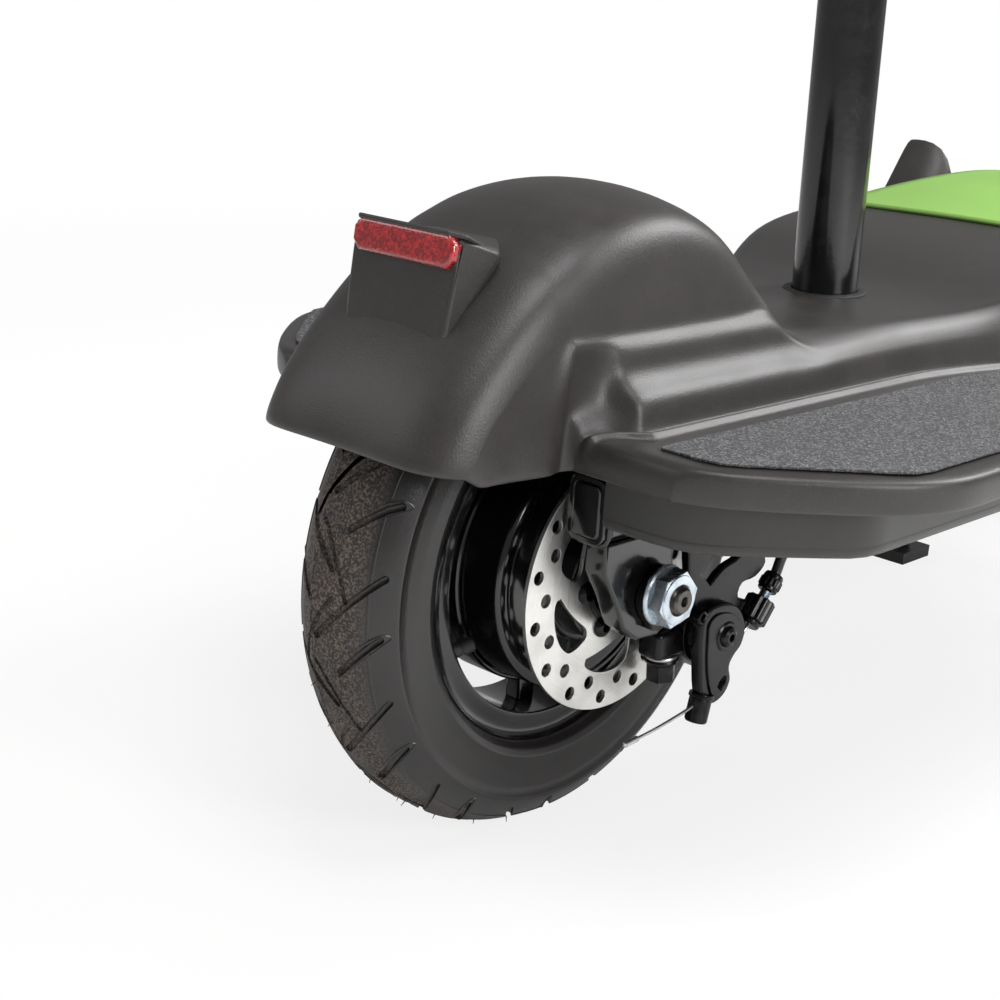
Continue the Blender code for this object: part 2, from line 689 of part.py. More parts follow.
def arm():
    """The actuating arm: a slotted hooked plate on a pivot boss, with the cable's pinch bolt under its foot."""
    loop = [
        (-0.0175, 0.0020),
        (-0.0170, 0.0100),
        (-0.0115, 0.0155),
        (-0.0035, 0.0155),
        (0.0065, 0.0125),
        (0.0135, 0.0065),
        (0.0165, -0.0005),
        (0.0145, -0.0075),
        (0.0095, -0.0115),
        (0.0055, -0.0155),
        (0.0085, -0.0235),
        (0.0055, -0.0295),
        (-0.0015, -0.0325),
        (-0.0095, -0.0305),
        (-0.0135, -0.0235),
        (-0.0155, -0.0075),
    ]
    slot = [(0.0000, -0.0270), (-0.0030, -0.0240), (0.0020, -0.0190), (0.0040, -0.0215)]
    loops = [[(PIVOT_Y + y, PIVOT_Z + z) for y, z in part] for part in (loop[::-1], slot)]
    plate = as_mesh(side_plate("brake_arm", loops, ARM_THICKNESS, ARM_X, black_alloy))
    face = ARM_X + ARM_THICKNESS / 2 - 0.001
    boss_ends = (rear(face, PIVOT_Y, PIVOT_Z), rear(face + 0.0035, PIVOT_Y, PIVOT_Z))
    boss = rod("arm boss", 0.0065, *boss_ends, black_alloy, 20, tools)
    pinch_ends = (rear(ARM_X, PIVOT_Y - 0.0085, PIVOT_Z - 0.027), rear(ARM_X, PIVOT_Y - 0.0115, PIVOT_Z - 0.0395))
    pinch = rod("pinch bolt", 0.0050, *pinch_ends, zinc, 12, tools)
    join(plate, boss, pinch)


def bracket():
    """The arm under the right rail that carries the caliper and the cable stop."""
    inner_x = DROPOUT_X + DROPOUT_THICKNESS / 2 + GAP
    thickness = 0.0030
    loop = [
        (0.0150, RAIL_BOTTOM - 0.002),
        (0.0200, 0.002),
        (0.0260, -0.018),
        (CALIPER_Y - 0.0165 * 0.7, CALIPER_Z + 0.002),
        (CALIPER_Y, CALIPER_Z - 0.014),
        (PIVOT_Y + 0.009, PIVOT_Z - 0.009),
        (PIVOT_Y + 0.017, PIVOT_Z - 0.005),
        (0.0680, -0.030),
        (0.0800, -0.026),
        (0.0840, -0.012),
        (0.0730, 0.000),
        (0.0500, RAIL_BOTTOM - 0.002),
    ]
    plate = side_plate("caliper_bracket", [loop[::-1]], thickness, inner_x + thickness / 2, black_alloy)
    plate = as_mesh(plate)
    start = rear(CABLE_X, CABLE_START_Y, CABLE_START_Z)
    along = Vector((0, CABLE_RISE_Y, CABLE_RISE_Z)).normalized()
    stop_end = start - along * 2 * GAP
    back = start - along * STOP_LENGTH
    barrel = rod("cable stop", 0.0045, back, stop_end, black_alloy, 16, tools)
    stud = rod(
        "arm stud",
        0.0065,
        rear(inner_x + thickness * 0.5, PIVOT_Y, PIVOT_Z),
        rear(ARM_X - ARM_THICKNESS / 2 - GAP, PIVOT_Y, PIVOT_Z),
        black_alloy,
        16,
        tools,
    )
    join(plate, barrel, stud)


def station(y, crown, shoulder, wall, ledge, tunnel, ridge, wing, outer):
    """One cross-section of the shell's right half, from the crown out to the skirt's lower edge."""
    (x2, z2), (x4, z4), (x6, z6), (x7, z7) = shoulder, wall, ledge, tunnel
    lip = 0.003
    return [
        (0.0, y, crown),
        (x2 * 0.5, y, crown - (crown - z2) * 0.22),
        (x2, y, z2),
        (x2 + 0.71 * (x4 - x2), y, z4 + 0.71 * (z2 - z4)),
        (x4, y, z4),
        (x4 + 0.25 * (x6 - x4), y, z6 + 0.30 * (z4 - z6)),
        (x6, y, z6),
        (x7, y, z7),
        (ridge, y, wing),
        (ridge + 0.35 * (outer - ridge), y, wing),
        (outer - lip, y, wing),
        (outer, y, wing - lip),
        (outer, y, wing - SKIRT_DEPTH),
    ]


def tail(y, crown, shoulder_z, wall_z, edge_z, wrap):
    """A section of the fender behind the deck, whose sides lie further forward by wrap."""
    x2, x4 = 0.042, 0.058
    return [
        (0.0, y, crown),
        (x2 * 0.5, y, crown - (crown - shoulder_z) * 0.22),
        (x2, y, shoulder_z),
        (x2 + 0.71 * (x4 - x2), y + 0.25 * wrap, wall_z + 0.71 * (shoulder_z - wall_z)),
        (x4, y + 0.65 * wrap, wall_z),
        (x4, y + 0.9 * wrap, edge_z + 0.3 * (wall_z - edge_z)),
        (x4, y + wrap, edge_z),
    ]


def fender_crown(y):
    """The fender's centre line: steep at the tail, 165 mm above the axle at its top."""
    knots = [
        (-0.123, 0.0665),
        (-0.119, 0.0800),
        (-0.110, 0.0965),
        (-0.096, 0.1130),
        (-0.078, 0.1300),
        (-0.060, 0.1425),
        (-0.040, 0.1530),
        (-0.020, 0.1605),
        (0.000, 0.1645),
        (0.020, 0.1655),
        (0.040, 0.1610),
        (0.058, 0.1515),
        (0.072, 0.1380),
        (0.082, 0.1230),
        (0.090, 0.1120),
    ]
    for (y0, z0), (y1, z1) in zip(knots, knots[1:]):
        if y <= y1:
            return z0 + (z1 - z0) * (y - y0) / (y1 - y0)
    return knots[-1][1]


def wing_edge(y):
    """Half-width of the foot wing: a rounded, cut-off rear corner, then straight."""
    knots = [
        (-0.053, 0.118),
        (-0.050, 0.131),
        (-0.043, 0.145),
        (-0.029, 0.156),
        (-0.014, 0.168),
        (0.002, 0.179),
        (0.020, 0.190),
        (0.034, WING_HALF_WIDTH),
    ]
    for (y0, x0), (y1, x1) in zip(knots, knots[1:]):
        if y <= y1:
            return x0 + (x1 - x0) * (y - y0) / (y1 - y0)
    return WING_HALF_WIDTH


def deck_y(share):
    """A place along the deck between the seat tube's plateau and the cowl, as a share of that length."""
    return DECK_BACK_Y + share * (COWL_BACK_Y - DECK_BACK_Y)


def shell_rows():
    """All of the shell's sections, tail to neck, in metres about the rear axle."""
    tails = [
        tail(-0.1230, 0.0665, 0.0660, 0.0640, 0.0615, 0.0250),
        tail(-0.1190, 0.0800, 0.0770, 0.0740, 0.0612, 0.0270),
        tail(-0.1100, 0.0965, 0.0920, 0.0850, 0.0608, 0.0230),
        tail(-0.0960, 0.1130, 0.1075, 0.0930, 0.0605, 0.0150),
        tail(-0.0780, 0.1300, 0.1240, 0.1030, 0.0602, 0.0060),
        tail(-0.0600, 0.1425, 0.1365, 0.1130, 0.0600, 0.0),
    ]
    middles = []
    low = WING_Z - SKIRT_DEPTH
    plain = [
        (-0.0530, low, low),
        (-0.0525, WING_Z - 0.003, low + 0.010),
        (-0.0490, WING_Z, WING_Z + 0.004),
        (-0.0430, WING_Z, WING_Z + 0.006),
    ]
    for y, wing, root in plain:
        top = fender_crown(y)
        ledge, tunnel = (0.060, root + 0.0010), (0.066, wing + 0.0004)
        row = station(
            y, top, (0.042, top - 0.006), (0.058, top - 0.030), ledge, tunnel, 0.083, wing, wing_edge(y)
        )
        if wing == low:
            row = [(x, y, max(z, low)) for x, y, z in row]
        middles.append(row)
    rise = [(-0.0360, 0.086, 0.0630, 0.080, 0.0700), (-0.0280, 0.104, 0.0635, 0.090, 0.0720)]
    for y, ledge_z, ledge_x, tunnel_z, tunnel_x in rise:
        top = fender_crown(y)
        middles.append(
            station(
                y, top, (0.042, top - 0.006), (0.058, top - 0.030), (ledge_x, ledge_z), (tunnel_x, tunnel_z),
                0.083, WING_Z, wing_edge(y),
            )
        )
    for y in (-0.0150, 0.0100, 0.0350, 0.0550, 0.0700, 0.0820, 0.0900):
        top = fender_crown(y)
        wall = max(top - 0.028, 0.114)
        shoulder = max(top - 0.006, wall + 0.002)
        if y >= 0.090:
            top, shoulder, wall = 0.1065, 0.1060, 0.1055
        middles.append(
            station(
                y, top, (0.042, shoulder), (0.058, wall), (0.064, min(0.111, wall - 0.001)), (0.074, 0.0945),
                0.083, WING_Z, wing_edge(y),
            )
        )
    plateau = [
        (0.120, 0.1010, 0.1005, 0.064, 0.0990, 0.070, 0.076, 0.083),
        (0.160, 0.0990, 0.0988, 0.064, 0.0980, 0.070, 0.076, 0.083),
        (SEAT_TUBE_Y - 0.026, SEAT_DECK_Z, SEAT_DECK_Z, 0.064, 0.0975, 0.071, 0.077, 0.084),
        (SEAT_TUBE_Y + 0.024, SEAT_DECK_Z, SEAT_DECK_Z, 0.073, 0.1000, 0.081, 0.087, 0.095),
        (DECK_BACK_Y, 0.1030, 0.1050, 0.084, 0.1085, 0.092, 0.098, 0.107),
        (deck_y(0.13), 0.1120, 0.1140, 0.098, 0.1160, 0.107, 0.114, 0.122),
        (deck_y(0.31), 0.1190, 0.1190, 0.113, 0.1185, 0.122, 0.129, 0.137),
        (deck_y(0.535), 0.1245, 0.1220, 0.124, 0.1195, 0.132, 0.139, 0.146),
        (deck_y(0.745), 0.1310, 0.1285, 0.124, 0.1250, 0.132, 0.139, 0.146),
        (COWL_BACK_Y, 0.1370, 0.1340, 0.120, 0.1300, 0.129, 0.137, 0.145),
    ]
    for y, top, shoulder, wall_x, wall_z, ledge_x, tunnel_x, ridge in plateau:
        middles.append(
            station(
                y, top, (wall_x * 0.72, shoulder), (wall_x, wall_z), (ledge_x, wall_z - 0.004),
                (tunnel_x, wall_z - 0.012), ridge, WING_Z, WING_HALF_WIDTH,
            )
        )
    kicks = ((RAIL_FRONT_Y - 0.043, 0.1400, 0.110, 0.1050), (RAIL_FRONT_Y - 0.013, 0.1440, 0.097, 0.1500))
    for y, top, wall_x, wing in kicks:
        row = station(
            y, top, (wall_x * 0.72, top - 0.005), (wall_x, top - 0.010), (wall_x + 0.010, top - 0.016),
            (wall_x + 0.018, top - 0.030), 0.136, WING_Z + 0.004, WING_HALF_WIDTH,
        )
        kick = [(x if x > 0.16 else 0.150, row_y, z + wing - WING_Z - 0.004) for x, row_y, z in row[9:]]
        middles.append(row[:9] + kick)
    noses = []
    cowl = ((0.025, 0.160, 0.068, 0.085), (0.060, 0.185, 0.048, 0.105), (0.090, 0.210, 0.036, 0.130))
    for ahead, top, half, foot in cowl:
        y = RAIL_FRONT_Y + ahead
        noses.append(
            [
                (0.0, y, top),
                (half * 0.45, y, top - 0.003),
                (half * 0.80, y, top - 0.014),
                (half * 0.95, y, top - 0.030),
                (half, y, top - 0.050),
                (half, y, (top - 0.050 + foot) / 2),
                (half, y, foot),
            ]
        )
    return tails, middles, noses


def body_shell():
    """The moulded shell: fender dome, tunnel, foot wings and neck cowl in one skin."""
    tails, middles, noses = shell_rows()
    bm = bmesh.new()
    rows = [[bm.verts.new(rear(*point)) for point in row] for row in [*tails, *middles, *noses]]
    for near, far in zip(rows, rows[1:]):
        for k in range(min(len(near), len(far)) - 1):
            bm.faces.new((near[k], near[k + 1], far[k + 1], far[k]))
    shell = mesh_object("body_shell", bm, matt_shell)
    mirror = shell.modifiers.new("both halves", "MIRROR")
    mirror.merge_threshold = 0.0001
    mirror.use_clip = True
    solid = shell.modifiers.new("wall", "SOLIDIFY")
    solid.thickness = SHELL_WALL
    solid.offset = -1
    solid.use_even_offset = True
    solid.use_quality_normals = True
    hole_ends = (seat_line(0.060), seat_line(0.140))
    hole = rod("seat tube hole", SEAT_TUBE_RADIUS + 0.0015, *hole_ends, matt_shell, 32, tools)
    cut(shell, hole)
    return shell


def reflector(shell):
    """The red reflector and the wedge moulded on the fender's tail that carries it."""
    lens_y, lens_z = -0.0922, 0.1452
    loop = [
        (-0.0985, 0.1010),
        (-0.1005, 0.1110),
        (-0.0899, 0.1375),
        (-0.0878, 0.1530),
        (-0.0600, 0.1460),
        (-0.0550, 0.1400),
        (-0.0700, 0.1310),
        (-0.0900, 0.1125),
    ]
    wedge = side_plate("reflector wedge", [loop], WEDGE_WIDTH, 0, matt_shell, tools)
    join(shell, bevel(as_mesh(wedge), 0.003, 2))
    bm = bmesh.new()
    bmesh.ops.create_cube(bm, size=1.0)
    bmesh.ops.scale(bm, vec=(REFLECTOR_LENGTH, 0.006, 0.013), verts=bm.verts)
    lens = mesh_object("rear_reflector", bm, red_lens, smooth=False)
    turn = Matrix.Rotation(math.radians(-7.6), 4, "X")
    lens.matrix_world = Matrix.Translation(rear(0, lens_y, lens_z)) @ turn
    bevel(lens, 0.0025, 3)


def deck():
    """Trays and pan under the deck, tapes and the green cover on it, and what the deck holds."""
    edge = [
        (0.090, -0.0460),
        (0.101, -0.0455),
        (0.116, -0.0430),
        (0.128, -0.0340),
        (0.145, -0.0130),
        (TRAY_OUTER_X - 0.001, 0.012),
        (TRAY_OUTER_X, 0.030),
    ]
    loop = [(TRAY_INNER_X, -0.046), *edge, (TRAY_OUTER_X, TRAY_FRONT_Y), (TRAY_INNER_X, TRAY_FRONT_Y)]
    top = WING_Z - SHELL_WALL - TRAY_CLEARANCE
    for side, name in ((1, "right"), (-1, "left")):
        tray = tray_shell(f"side_tray_{name}", loop, side, top)
        tape = [
            (0.096, -0.040),
            (0.130, -0.040),
            (0.138, -0.034),
            (0.178, 0.016),
            (0.180, 0.024),
            (0.180, deck_y(0.64)),
            (0.152, deck_y(0.64)),
            (0.150, deck_y(0.44)),
            (0.142, deck_y(0.24)),
            (0.126, deck_y(0.06)),
            (0.107, SEAT_TUBE_Y + 0.024),
            (0.096, SEAT_TUBE_Y - 0.016),
        ]
        points = [(side * x, REAR_Y + y) for x, y in tape]
        sheet = outline(f"grip_tape_{name}", [points[::side]], TAPE_THICKNESS, tape_grey)
        sheet.location.z = AXLE_Z + WING_Z + GAP + TAPE_THICKNESS / 2
    width = 2 * (RAIL_X - RAIL_WIDTH / 2 - 0.001)
    pan_z = RAIL_BOTTOM - PAN_THICKNESS / 2 - GAP
    pan_size = (width, PACK_FRONT_Y - PAN_REAR_Y, PAN_THICKNESS)
    box("belly_pan", pan_size, rear(0, (PACK_FRONT_Y + PAN_REAR_Y) / 2, pan_z), tray_black, 0.001)
    controller_at = rear(0, CONTROLLER_Y, RAIL_BOTTOM + CONTROLLER_SIZE[2] / 2)
    box("motor_controller", CONTROLLER_SIZE, controller_at, black_alloy, 0.003)
    pack_rear = CONTROLLER_Y + CONTROLLER_SIZE[1] / 2 + 0.010
    pack_size = (PACK_WIDTH, PACK_FRONT_Y - pack_rear, PACK_HEIGHT)
    pack_at = rear(0, (PACK_FRONT_Y + pack_rear) / 2, RAIL_BOTTOM + PACK_HEIGHT / 2)
    box("battery_pack", pack_size, pack_at, pack_blue, 0.004)
    cover()


def tray_shell(name, loop, side, top):
    """An open-topped tray of sheet, hung under one foot wing."""
    bm = bmesh.new()
    low = [bm.verts.new(rear(side * x, y, TRAY_BOTTOM)) for x, y in loop]
    high = [bm.verts.new(rear(side * x, y, top)) for x, y in loop]
    bm.faces.new(low)
    for k in range(len(loop)):
        after = (k + 1) % len(loop)
        bm.faces.new((low[k], low[after], high[after], high[k]))
    tray = mesh_object(name, bm, tray_black, smooth=False)
    solid = tray.modifiers.new("sheet", "SOLIDIFY")
    solid.thickness = TUBE_WALL
    solid.offset = -1 if tray_faces_out(tray) else 1
    solid.use_even_offset = True
    return tray


def tray_faces_out(tray):
    """True where the floor's normal points down, so that the wall grows inwards."""
    floor = min(tray.data.polygons, key=lambda face: face.center.z)
    return floor.normal.z < 0


def cover():
    """The green cover over the battery, following the plateau's crown."""
    rows = [
        (deck_y(0.542), 0.1248, 0.1223, 0.124, 0.1199),
        (deck_y(0.745), 0.1310, 0.1285, 0.124, 0.1250),
        (COWL_BACK_Y, 0.1370, 0.1340, 0.120, 0.1300),
        (RAIL_FRONT_Y - 0.047, 0.1397, 0.1350, 0.1112, 0.1304),
    ]
    bm = bmesh.new()
    grid = []
    for y, top, shoulder, half, edge in rows:
        x2 = half * 0.72
        near_edge = (half * 0.92, edge + 0.71 * (shoulder - edge))
        half_row = [(0.0, top), (x2 * 0.5, top - (top - shoulder) * 0.22), (x2, shoulder), near_edge]
        both = [(-x, z) for x, z in reversed(half_row[1:])] + half_row
        grid.append([bm.verts.new(rear(x, y, z + GAP + 0.0002)) for x, z in both])
    for near, far in zip(grid, grid[1:]):
        for k in range(len(near) - 1):
            bm.faces.new((near[k], near[k + 1], far[k + 1], far[k]))
    panel = mesh_object("battery_cover", bm, cover_green)
    solid = panel.modifiers.new("sheet", "SOLIDIFY")
    solid.thickness = COVER_THICKNESS
    solid.offset = 1
    solid.use_even_offset = True


def stand():
    """The two-legged centre stand under the rails, down, with its feet on the ground."""
    top_z, low_z = RAIL_BOTTOM - GAP, STAND_PIVOT_Z - 0.011
    ear_size = (0.005, 0.026, top_z - low_z)
    base_size = (2 * RAIL_X + RAIL_WIDTH, 0.030, 0.004)
    base = box("kickstand_bracket", base_size, rear(0, STAND_Y, 0.0125), frame_black)
    for side in (1, -1):
        ear_at = rear(side * 0.0655, STAND_Y, (top_z + low_z) / 2)
        join(base, box(f"stand ear {side}", ear_size, ear_at, frame_black, 0, tools))
    bore_ends = (rear(-0.080, STAND_Y, STAND_PIVOT_Z), rear(0.080, STAND_Y, STAND_PIVOT_Z))
    cut(base, rod("stand bore", STAND_TUBE_RADIUS + GAP, *bore_ends, frame_black, 24, tools))
    pivot_ends = (rear(-0.074, STAND_Y, STAND_PIVOT_Z), rear(0.074, STAND_Y, STAND_PIVOT_Z))
    pivot = rod("kickstand_legs", STAND_TUBE_RADIUS, *pivot_ends, frame_black, 20)
    for side in (1, -1):
        foot = rear(side * STAND_FOOT_X, STAND_Y + 0.012, -AXLE_Z)
        hip = rear(side * 0.050, STAND_Y, STAND_PIVOT_Z)
        heel = foot + Vector((0, 0, 0.006))
        leg = rod(f"stand leg {side}", STAND_TUBE_RADIUS - 0.0012, hip, heel, frame_black, 16, tools)
        sole = foot + Vector((0, 0, 0.004))
        join(pivot, leg, box(f"stand foot {side}", (0.030, 0.034, 0.008), sole, frame_black, 0, tools))


def front_end():
    """Fork, column, telescoping stem, handlebar and the front wheel."""
    crown_high = HEAD_LOW - RUNNING_GAP
    fork = rod("fork", STEERER_RADIUS, steer(CROWN_LOW + 0.005), steer(HEAD_HIGH + 0.010), frame_black, 24)
    crown_size = (2 * FORK_LEG_X + 0.026, 0.036, crown_high - CROWN_LOW)
    crown = box("fork crown", crown_size, (0, 0, 0), frame_black, 0, tools)
    aim(crown, steer((crown_high + CROWN_LOW) / 2), steer(1) - steer(0))
    join(fork, crown)
    wheel_centre = rear(0, WHEELBASE, 0)
    for side in (1, -1):
        x = side * FORK_LEG_X
        foot = wheel_centre + Vector((x, 0, 0))
        hip = steer(crown_high - 0.004, x)
        leg = rod(f"fork leg {side}", FORK_LEG_RADIUS, hip, foot, frame_black, 20, tools)
        half = Vector((0.006, 0, 0))
        join(fork, leg, rod(f"fork lug {side}", 0.016, foot - half, foot + half, frame_black, 20, tools))
    reach = Vector((0.100, 0, 0))
    bore_ends = (wheel_centre - reach, wheel_centre + reach)
    cut(fork, rod("fork bore", AXLE_RADIUS + GAP, *bore_ends, frame_black, 20, tools))
    end = Vector((FORK_LEG_X + 0.018, 0, 0))
    rod("front_axle", AXLE_RADIUS, wheel_centre - end, wheel_centre + end, zinc, 20)
    tyre("front_tyre", wheel_centre)
    wheel("front_rim", wheel_centre, AXLE_RADIUS + GAP, HUB_RADIUS, FRONT_HUB_HALF)
    front_fender(wheel_centre)
    base = steer(HEAD_HIGH + RUNNING_GAP)
    inner = COLUMN_BORE
    column = pipe("column_tube", COLUMN_RADIUS, inner, base, steer(COLUMN_TOP), gloss_black, 24)
    seal_top = steer(HEAD_HIGH + 0.012)
    seal = pipe("column seat", inner + 0.001, STEERER_RADIUS + GAP, base, seal_top, gloss_black, 24, tools)
    join(as_mesh(column), as_mesh(seal))
    clamp_ends = (steer(COLUMN_TOP - 0.028), steer(COLUMN_TOP - 0.002))
    clamp = pipe("bar_clamp", 0.026, COLUMN_RADIUS + GAP, *clamp_ends, black_alloy, 28)
    lug = box("bar clamp lug", (0.016, 0.018, 0.022), (0, 0, 0), black_alloy, 0, tools)
    aim(lug, steer(COLUMN_TOP - 0.015, 0, 0.031), steer(1) - steer(0))
    join(as_mesh(clamp), lug)
    lever("bar_clamp_lever", steer(COLUMN_TOP - 0.015, 0.0115, 0.036), 0.006, 0.050, RAKE - math.pi / 2)
    lamp()
    handlebar()


def front_fender(centre):
    """A curved mudguard close over the front tyre, hung from the fork crown."""
    bm = bmesh.new()
    rows = []
    for k in range(17):
        a = math.radians(30 + 7.5 * k)
        row = []
        for share, drop in ((-1, 0.012), (-0.8, 0.003), (0, 0), (0.8, 0.003), (1, 0.012)):
            radius = FENDER_RADIUS - drop
            place = Vector((share * FENDER_HALF_WIDTH, radius * math.cos(a), radius * math.sin(a)))
            row.append(bm.verts.new(centre + place))
        rows.append(row)
    for near, far in zip(rows, rows[1:]):
        for k in range(4):
            bm.faces.new((near[k], near[k + 1], far[k + 1], far[k]))
    guard = mesh_object("front_fender", bm, matt_shell)
    solid = guard.modifiers.new("sheet", "SOLIDIFY")
    solid.thickness = 0.002
    solid.offset = 0


def lamp():
    """The headlight on the head of the steering column."""
    centre = steer(0.400, 0, COLUMN_RADIUS + GAP + 0.020)
    body = box("headlight", (0.050, 0.040, 0.050), centre, clear_lens, 0.006)
    body.rotation_euler.x = RAKE


def handlebar():
    """Stem, T-clamp, bar, grips and brake levers."""
    stem = rod("bar_stem", COLUMN_BORE - GAP, steer(STEM_LOW), steer(STEM_HIGH), steel, 28)
    middle = steer(BAR_AT)
    half = Vector((0.024, 0, 0))
    join(stem, rod("stem head", 0.019, middle - half, middle + half, black_alloy, 28, tools))
    cut(stem, rod("stem eye", BAR_RADIUS + GAP, middle - 2 * half, middle + 2 * half, steel, 28, tools))
    end = Vector((BAR_HALF_WIDTH, 0, 0))
    rod("handlebar", BAR_RADIUS, middle - end, middle + end, gloss_black, 28)
    for side, name in ((-1, "grip_left"), (1, "throttle_grip")):
        outer = middle + Vector((side * (BAR_HALF_WIDTH - 0.001), 0, 0))
        inner = outer - Vector((side * GRIP_LENGTH, 0, 0))
        pipe(name, GRIP_RADIUS, BAR_RADIUS + GAP, inner, outer, soft_black, 24)
    for side, name in ((-1, "left"), (1, "right")):
        x = side * (BAR_HALF_WIDTH - GRIP_LENGTH - 0.022)
        at = middle + Vector((x, 0, 0))
        half = Vector((0.008, 0, 0))
        hold = pipe(f"lever_bracket_{name}", 0.0160, BAR_RADIUS + GAP, at - half, at + half, black_alloy, 24)
        lug_at = at + Vector((0, 0.0255, -0.003))
        lug = box(f"lever lug {name}", (0.016, 0.024, 0.006), lug_at, black_alloy, 0, tools)
        join(as_mesh(hold), lug)
        pivot = at + Vector((0, 0.0310, -0.0095))
        loop = [
            (-0.008, -0.006),
            (0.010, -0.006),
            (0.030, 0.004),
            (LEVER_LENGTH, 0.006),
            (LEVER_LENGTH + 0.004, 0.010),
            (LEVER_LENGTH, 0.014),
            (0.030, 0.014),
            (0.004, 0.008),
            (-0.008, 0.006),
        ]
        points = [(side * x_out, y) for x_out, y in loop]
        blade = outline(f"brake_lever_{name}", [points[::side]], 0.006, black_alloy)
        blade.location = pivot


rear_wheel()
axle_set()
dropouts()
rails()
seat()
brake()
reflector(body_shell())
deck()
stand()
front_end()
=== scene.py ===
# %% [markdown]
# An electric scooter with a faired deck, seen from behind. The CAD model gives every piece its
# place and its joints. This lesson dresses it: each step names what the piece is on the real
# machine, how it could be made, and why one way was chosen.

# %% Load the frame
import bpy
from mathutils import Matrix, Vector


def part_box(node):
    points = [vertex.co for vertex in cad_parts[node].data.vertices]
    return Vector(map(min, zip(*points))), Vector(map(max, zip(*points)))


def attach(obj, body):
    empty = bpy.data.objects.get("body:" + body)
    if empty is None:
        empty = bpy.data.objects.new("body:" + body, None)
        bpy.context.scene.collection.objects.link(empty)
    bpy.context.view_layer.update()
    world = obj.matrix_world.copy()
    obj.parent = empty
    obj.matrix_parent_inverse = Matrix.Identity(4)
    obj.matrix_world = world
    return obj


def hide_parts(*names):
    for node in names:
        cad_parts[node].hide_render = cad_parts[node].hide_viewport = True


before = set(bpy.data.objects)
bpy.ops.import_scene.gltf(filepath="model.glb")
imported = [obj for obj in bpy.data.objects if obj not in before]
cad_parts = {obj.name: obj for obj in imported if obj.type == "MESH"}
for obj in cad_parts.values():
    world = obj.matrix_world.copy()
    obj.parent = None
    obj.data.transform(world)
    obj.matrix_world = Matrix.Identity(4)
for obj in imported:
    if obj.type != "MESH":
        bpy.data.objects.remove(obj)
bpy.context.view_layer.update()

# %% [markdown]
# The photograph was measured from the centre of the rear axle, in millimetres, so that is the
# ruler used here. One function turns such a place into a point of the model, in metres. Points
# closer than TWIN count as one, and halves of a piece that meet within SEAM are joined.

# %% Millimetres from the rear axle
import math

import bmesh
import bpy
from mathutils import Matrix, Vector

MM = 0.001
TWIN, SEAM = 0.000002, 0.00001
REAR_AXLE = sum(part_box("rear_axle"), Vector()) / 2
FRONT_AXLE = sum(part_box("front_axle"), Vector()) / 2
RAKE = math.radians(16)


def at(x, y, z):
    """A point of the model from millimetres right, ahead and above of the rear axle's centre."""
    return REAR_AXLE + Vector((x, y, z)) * MM


print("rear axle at", [round(v, 4) for v in REAR_AXLE], "wheelbase", round((FRONT_AXLE - REAR_AXLE).y, 4))


# %% Objects in the scene
def in_scene(name, data):
    """A new object that shows some data, linked to the scene."""
    made = bpy.data.objects.new(name, data)
    bpy.context.scene.collection.objects.link(made)
    return made


def mesh_object(name, bm):
    """A new object in the scene from a bmesh, which is used up."""
    mesh = bpy.data.meshes.new(name)
    bm.to_mesh(mesh)
    bm.free()
    return in_scene(name, mesh)


def modify(target, name, kind, **settings):
    """Adds a modifier with its settings to an object."""
    made = target.modifiers.new(name, kind)
    for key, value in settings.items():
        setattr(made, key, value)
    return made


# %% [markdown]
# The camera comes first, since it decides how much detail each piece needs. Its place was solved
# from the ellipses of the brake disc and rim, and from the straight edges of the deck. A Blender
# camera looks down its own -Z, so its matrix is the right, up and backward directions side by side.

# %% Camera
VIEW_AZIMUTH, VIEW_PITCH, VIEW_ROLL = math.radians(42.39), math.radians(16.89), math.radians(3.89)
CAMERA_PLACE = (512.14, -585.85, 258.02)
LENS_MM, SENSOR_MM = 64.8, 36
level = Vector((math.cos(VIEW_AZIMUTH), math.sin(VIEW_AZIMUTH), 0))
level_ahead = Vector((-level.y, level.x, 0))
forward = math.cos(VIEW_PITCH) * level_ahead - math.sin(VIEW_PITCH) * Vector((0, 0, 1))
upright = level.cross(forward)
right = math.cos(VIEW_ROLL) * level + math.sin(VIEW_ROLL) * upright
up = math.cos(VIEW_ROLL) * upright - math.sin(VIEW_ROLL) * level
camera = in_scene("camera", bpy.data.cameras.new("camera"))
camera.data.sensor_width = SENSOR_MM
camera.data.lens = LENS_MM
looks = Matrix((right, up, -forward)).transposed()
camera.matrix_world = Matrix.Translation(at(*CAMERA_PLACE)) @ looks.to_4x4()
bpy.context.scene.camera = camera
print("camera at", [round(v, 3) for v in camera.location])

# %% [markdown]
# A material starts from an sRGB colour, as a paint chart or a photo editor gives it, while Blender
# mixes light in linear values. One function makes that change. A few more add the nodes that come
# back in every recipe: noise, a ramp from one span of values to another, a blend and a relief.

# %% Colour and node helpers
def linear(hexcode):
    """Six sRGB hex digits as Blender's linear colour."""
    channels = [int(hexcode[i : i + 2], 16) / 255 for i in (0, 2, 4)]
    return tuple(c / 12.92 if c <= 0.04045 else ((c + 0.055) / 1.055) ** 2.4 for c in channels) + (1.0,)


def feed(owner, node, sockets):
    """Fills a node's inputs: each with a value, a hex colour or another node's output."""
    for name, value in sockets.items():
        if isinstance(value, bpy.types.NodeSocket):
            owner.node_tree.links.new(value, node.inputs[name])
        else:
            node.inputs[name].default_value = linear(value) if isinstance(value, str) else value


def add_node(owner, kind, settings=None, sockets=None):
    """Adds a node to a material or world. Settings are its properties, sockets its inputs."""
    made = owner.node_tree.nodes.new("ShaderNode" + kind)
    for name, value in (settings or {}).items():
        setattr(made, name, value)
    feed(owner, made, sockets or {})
    return made


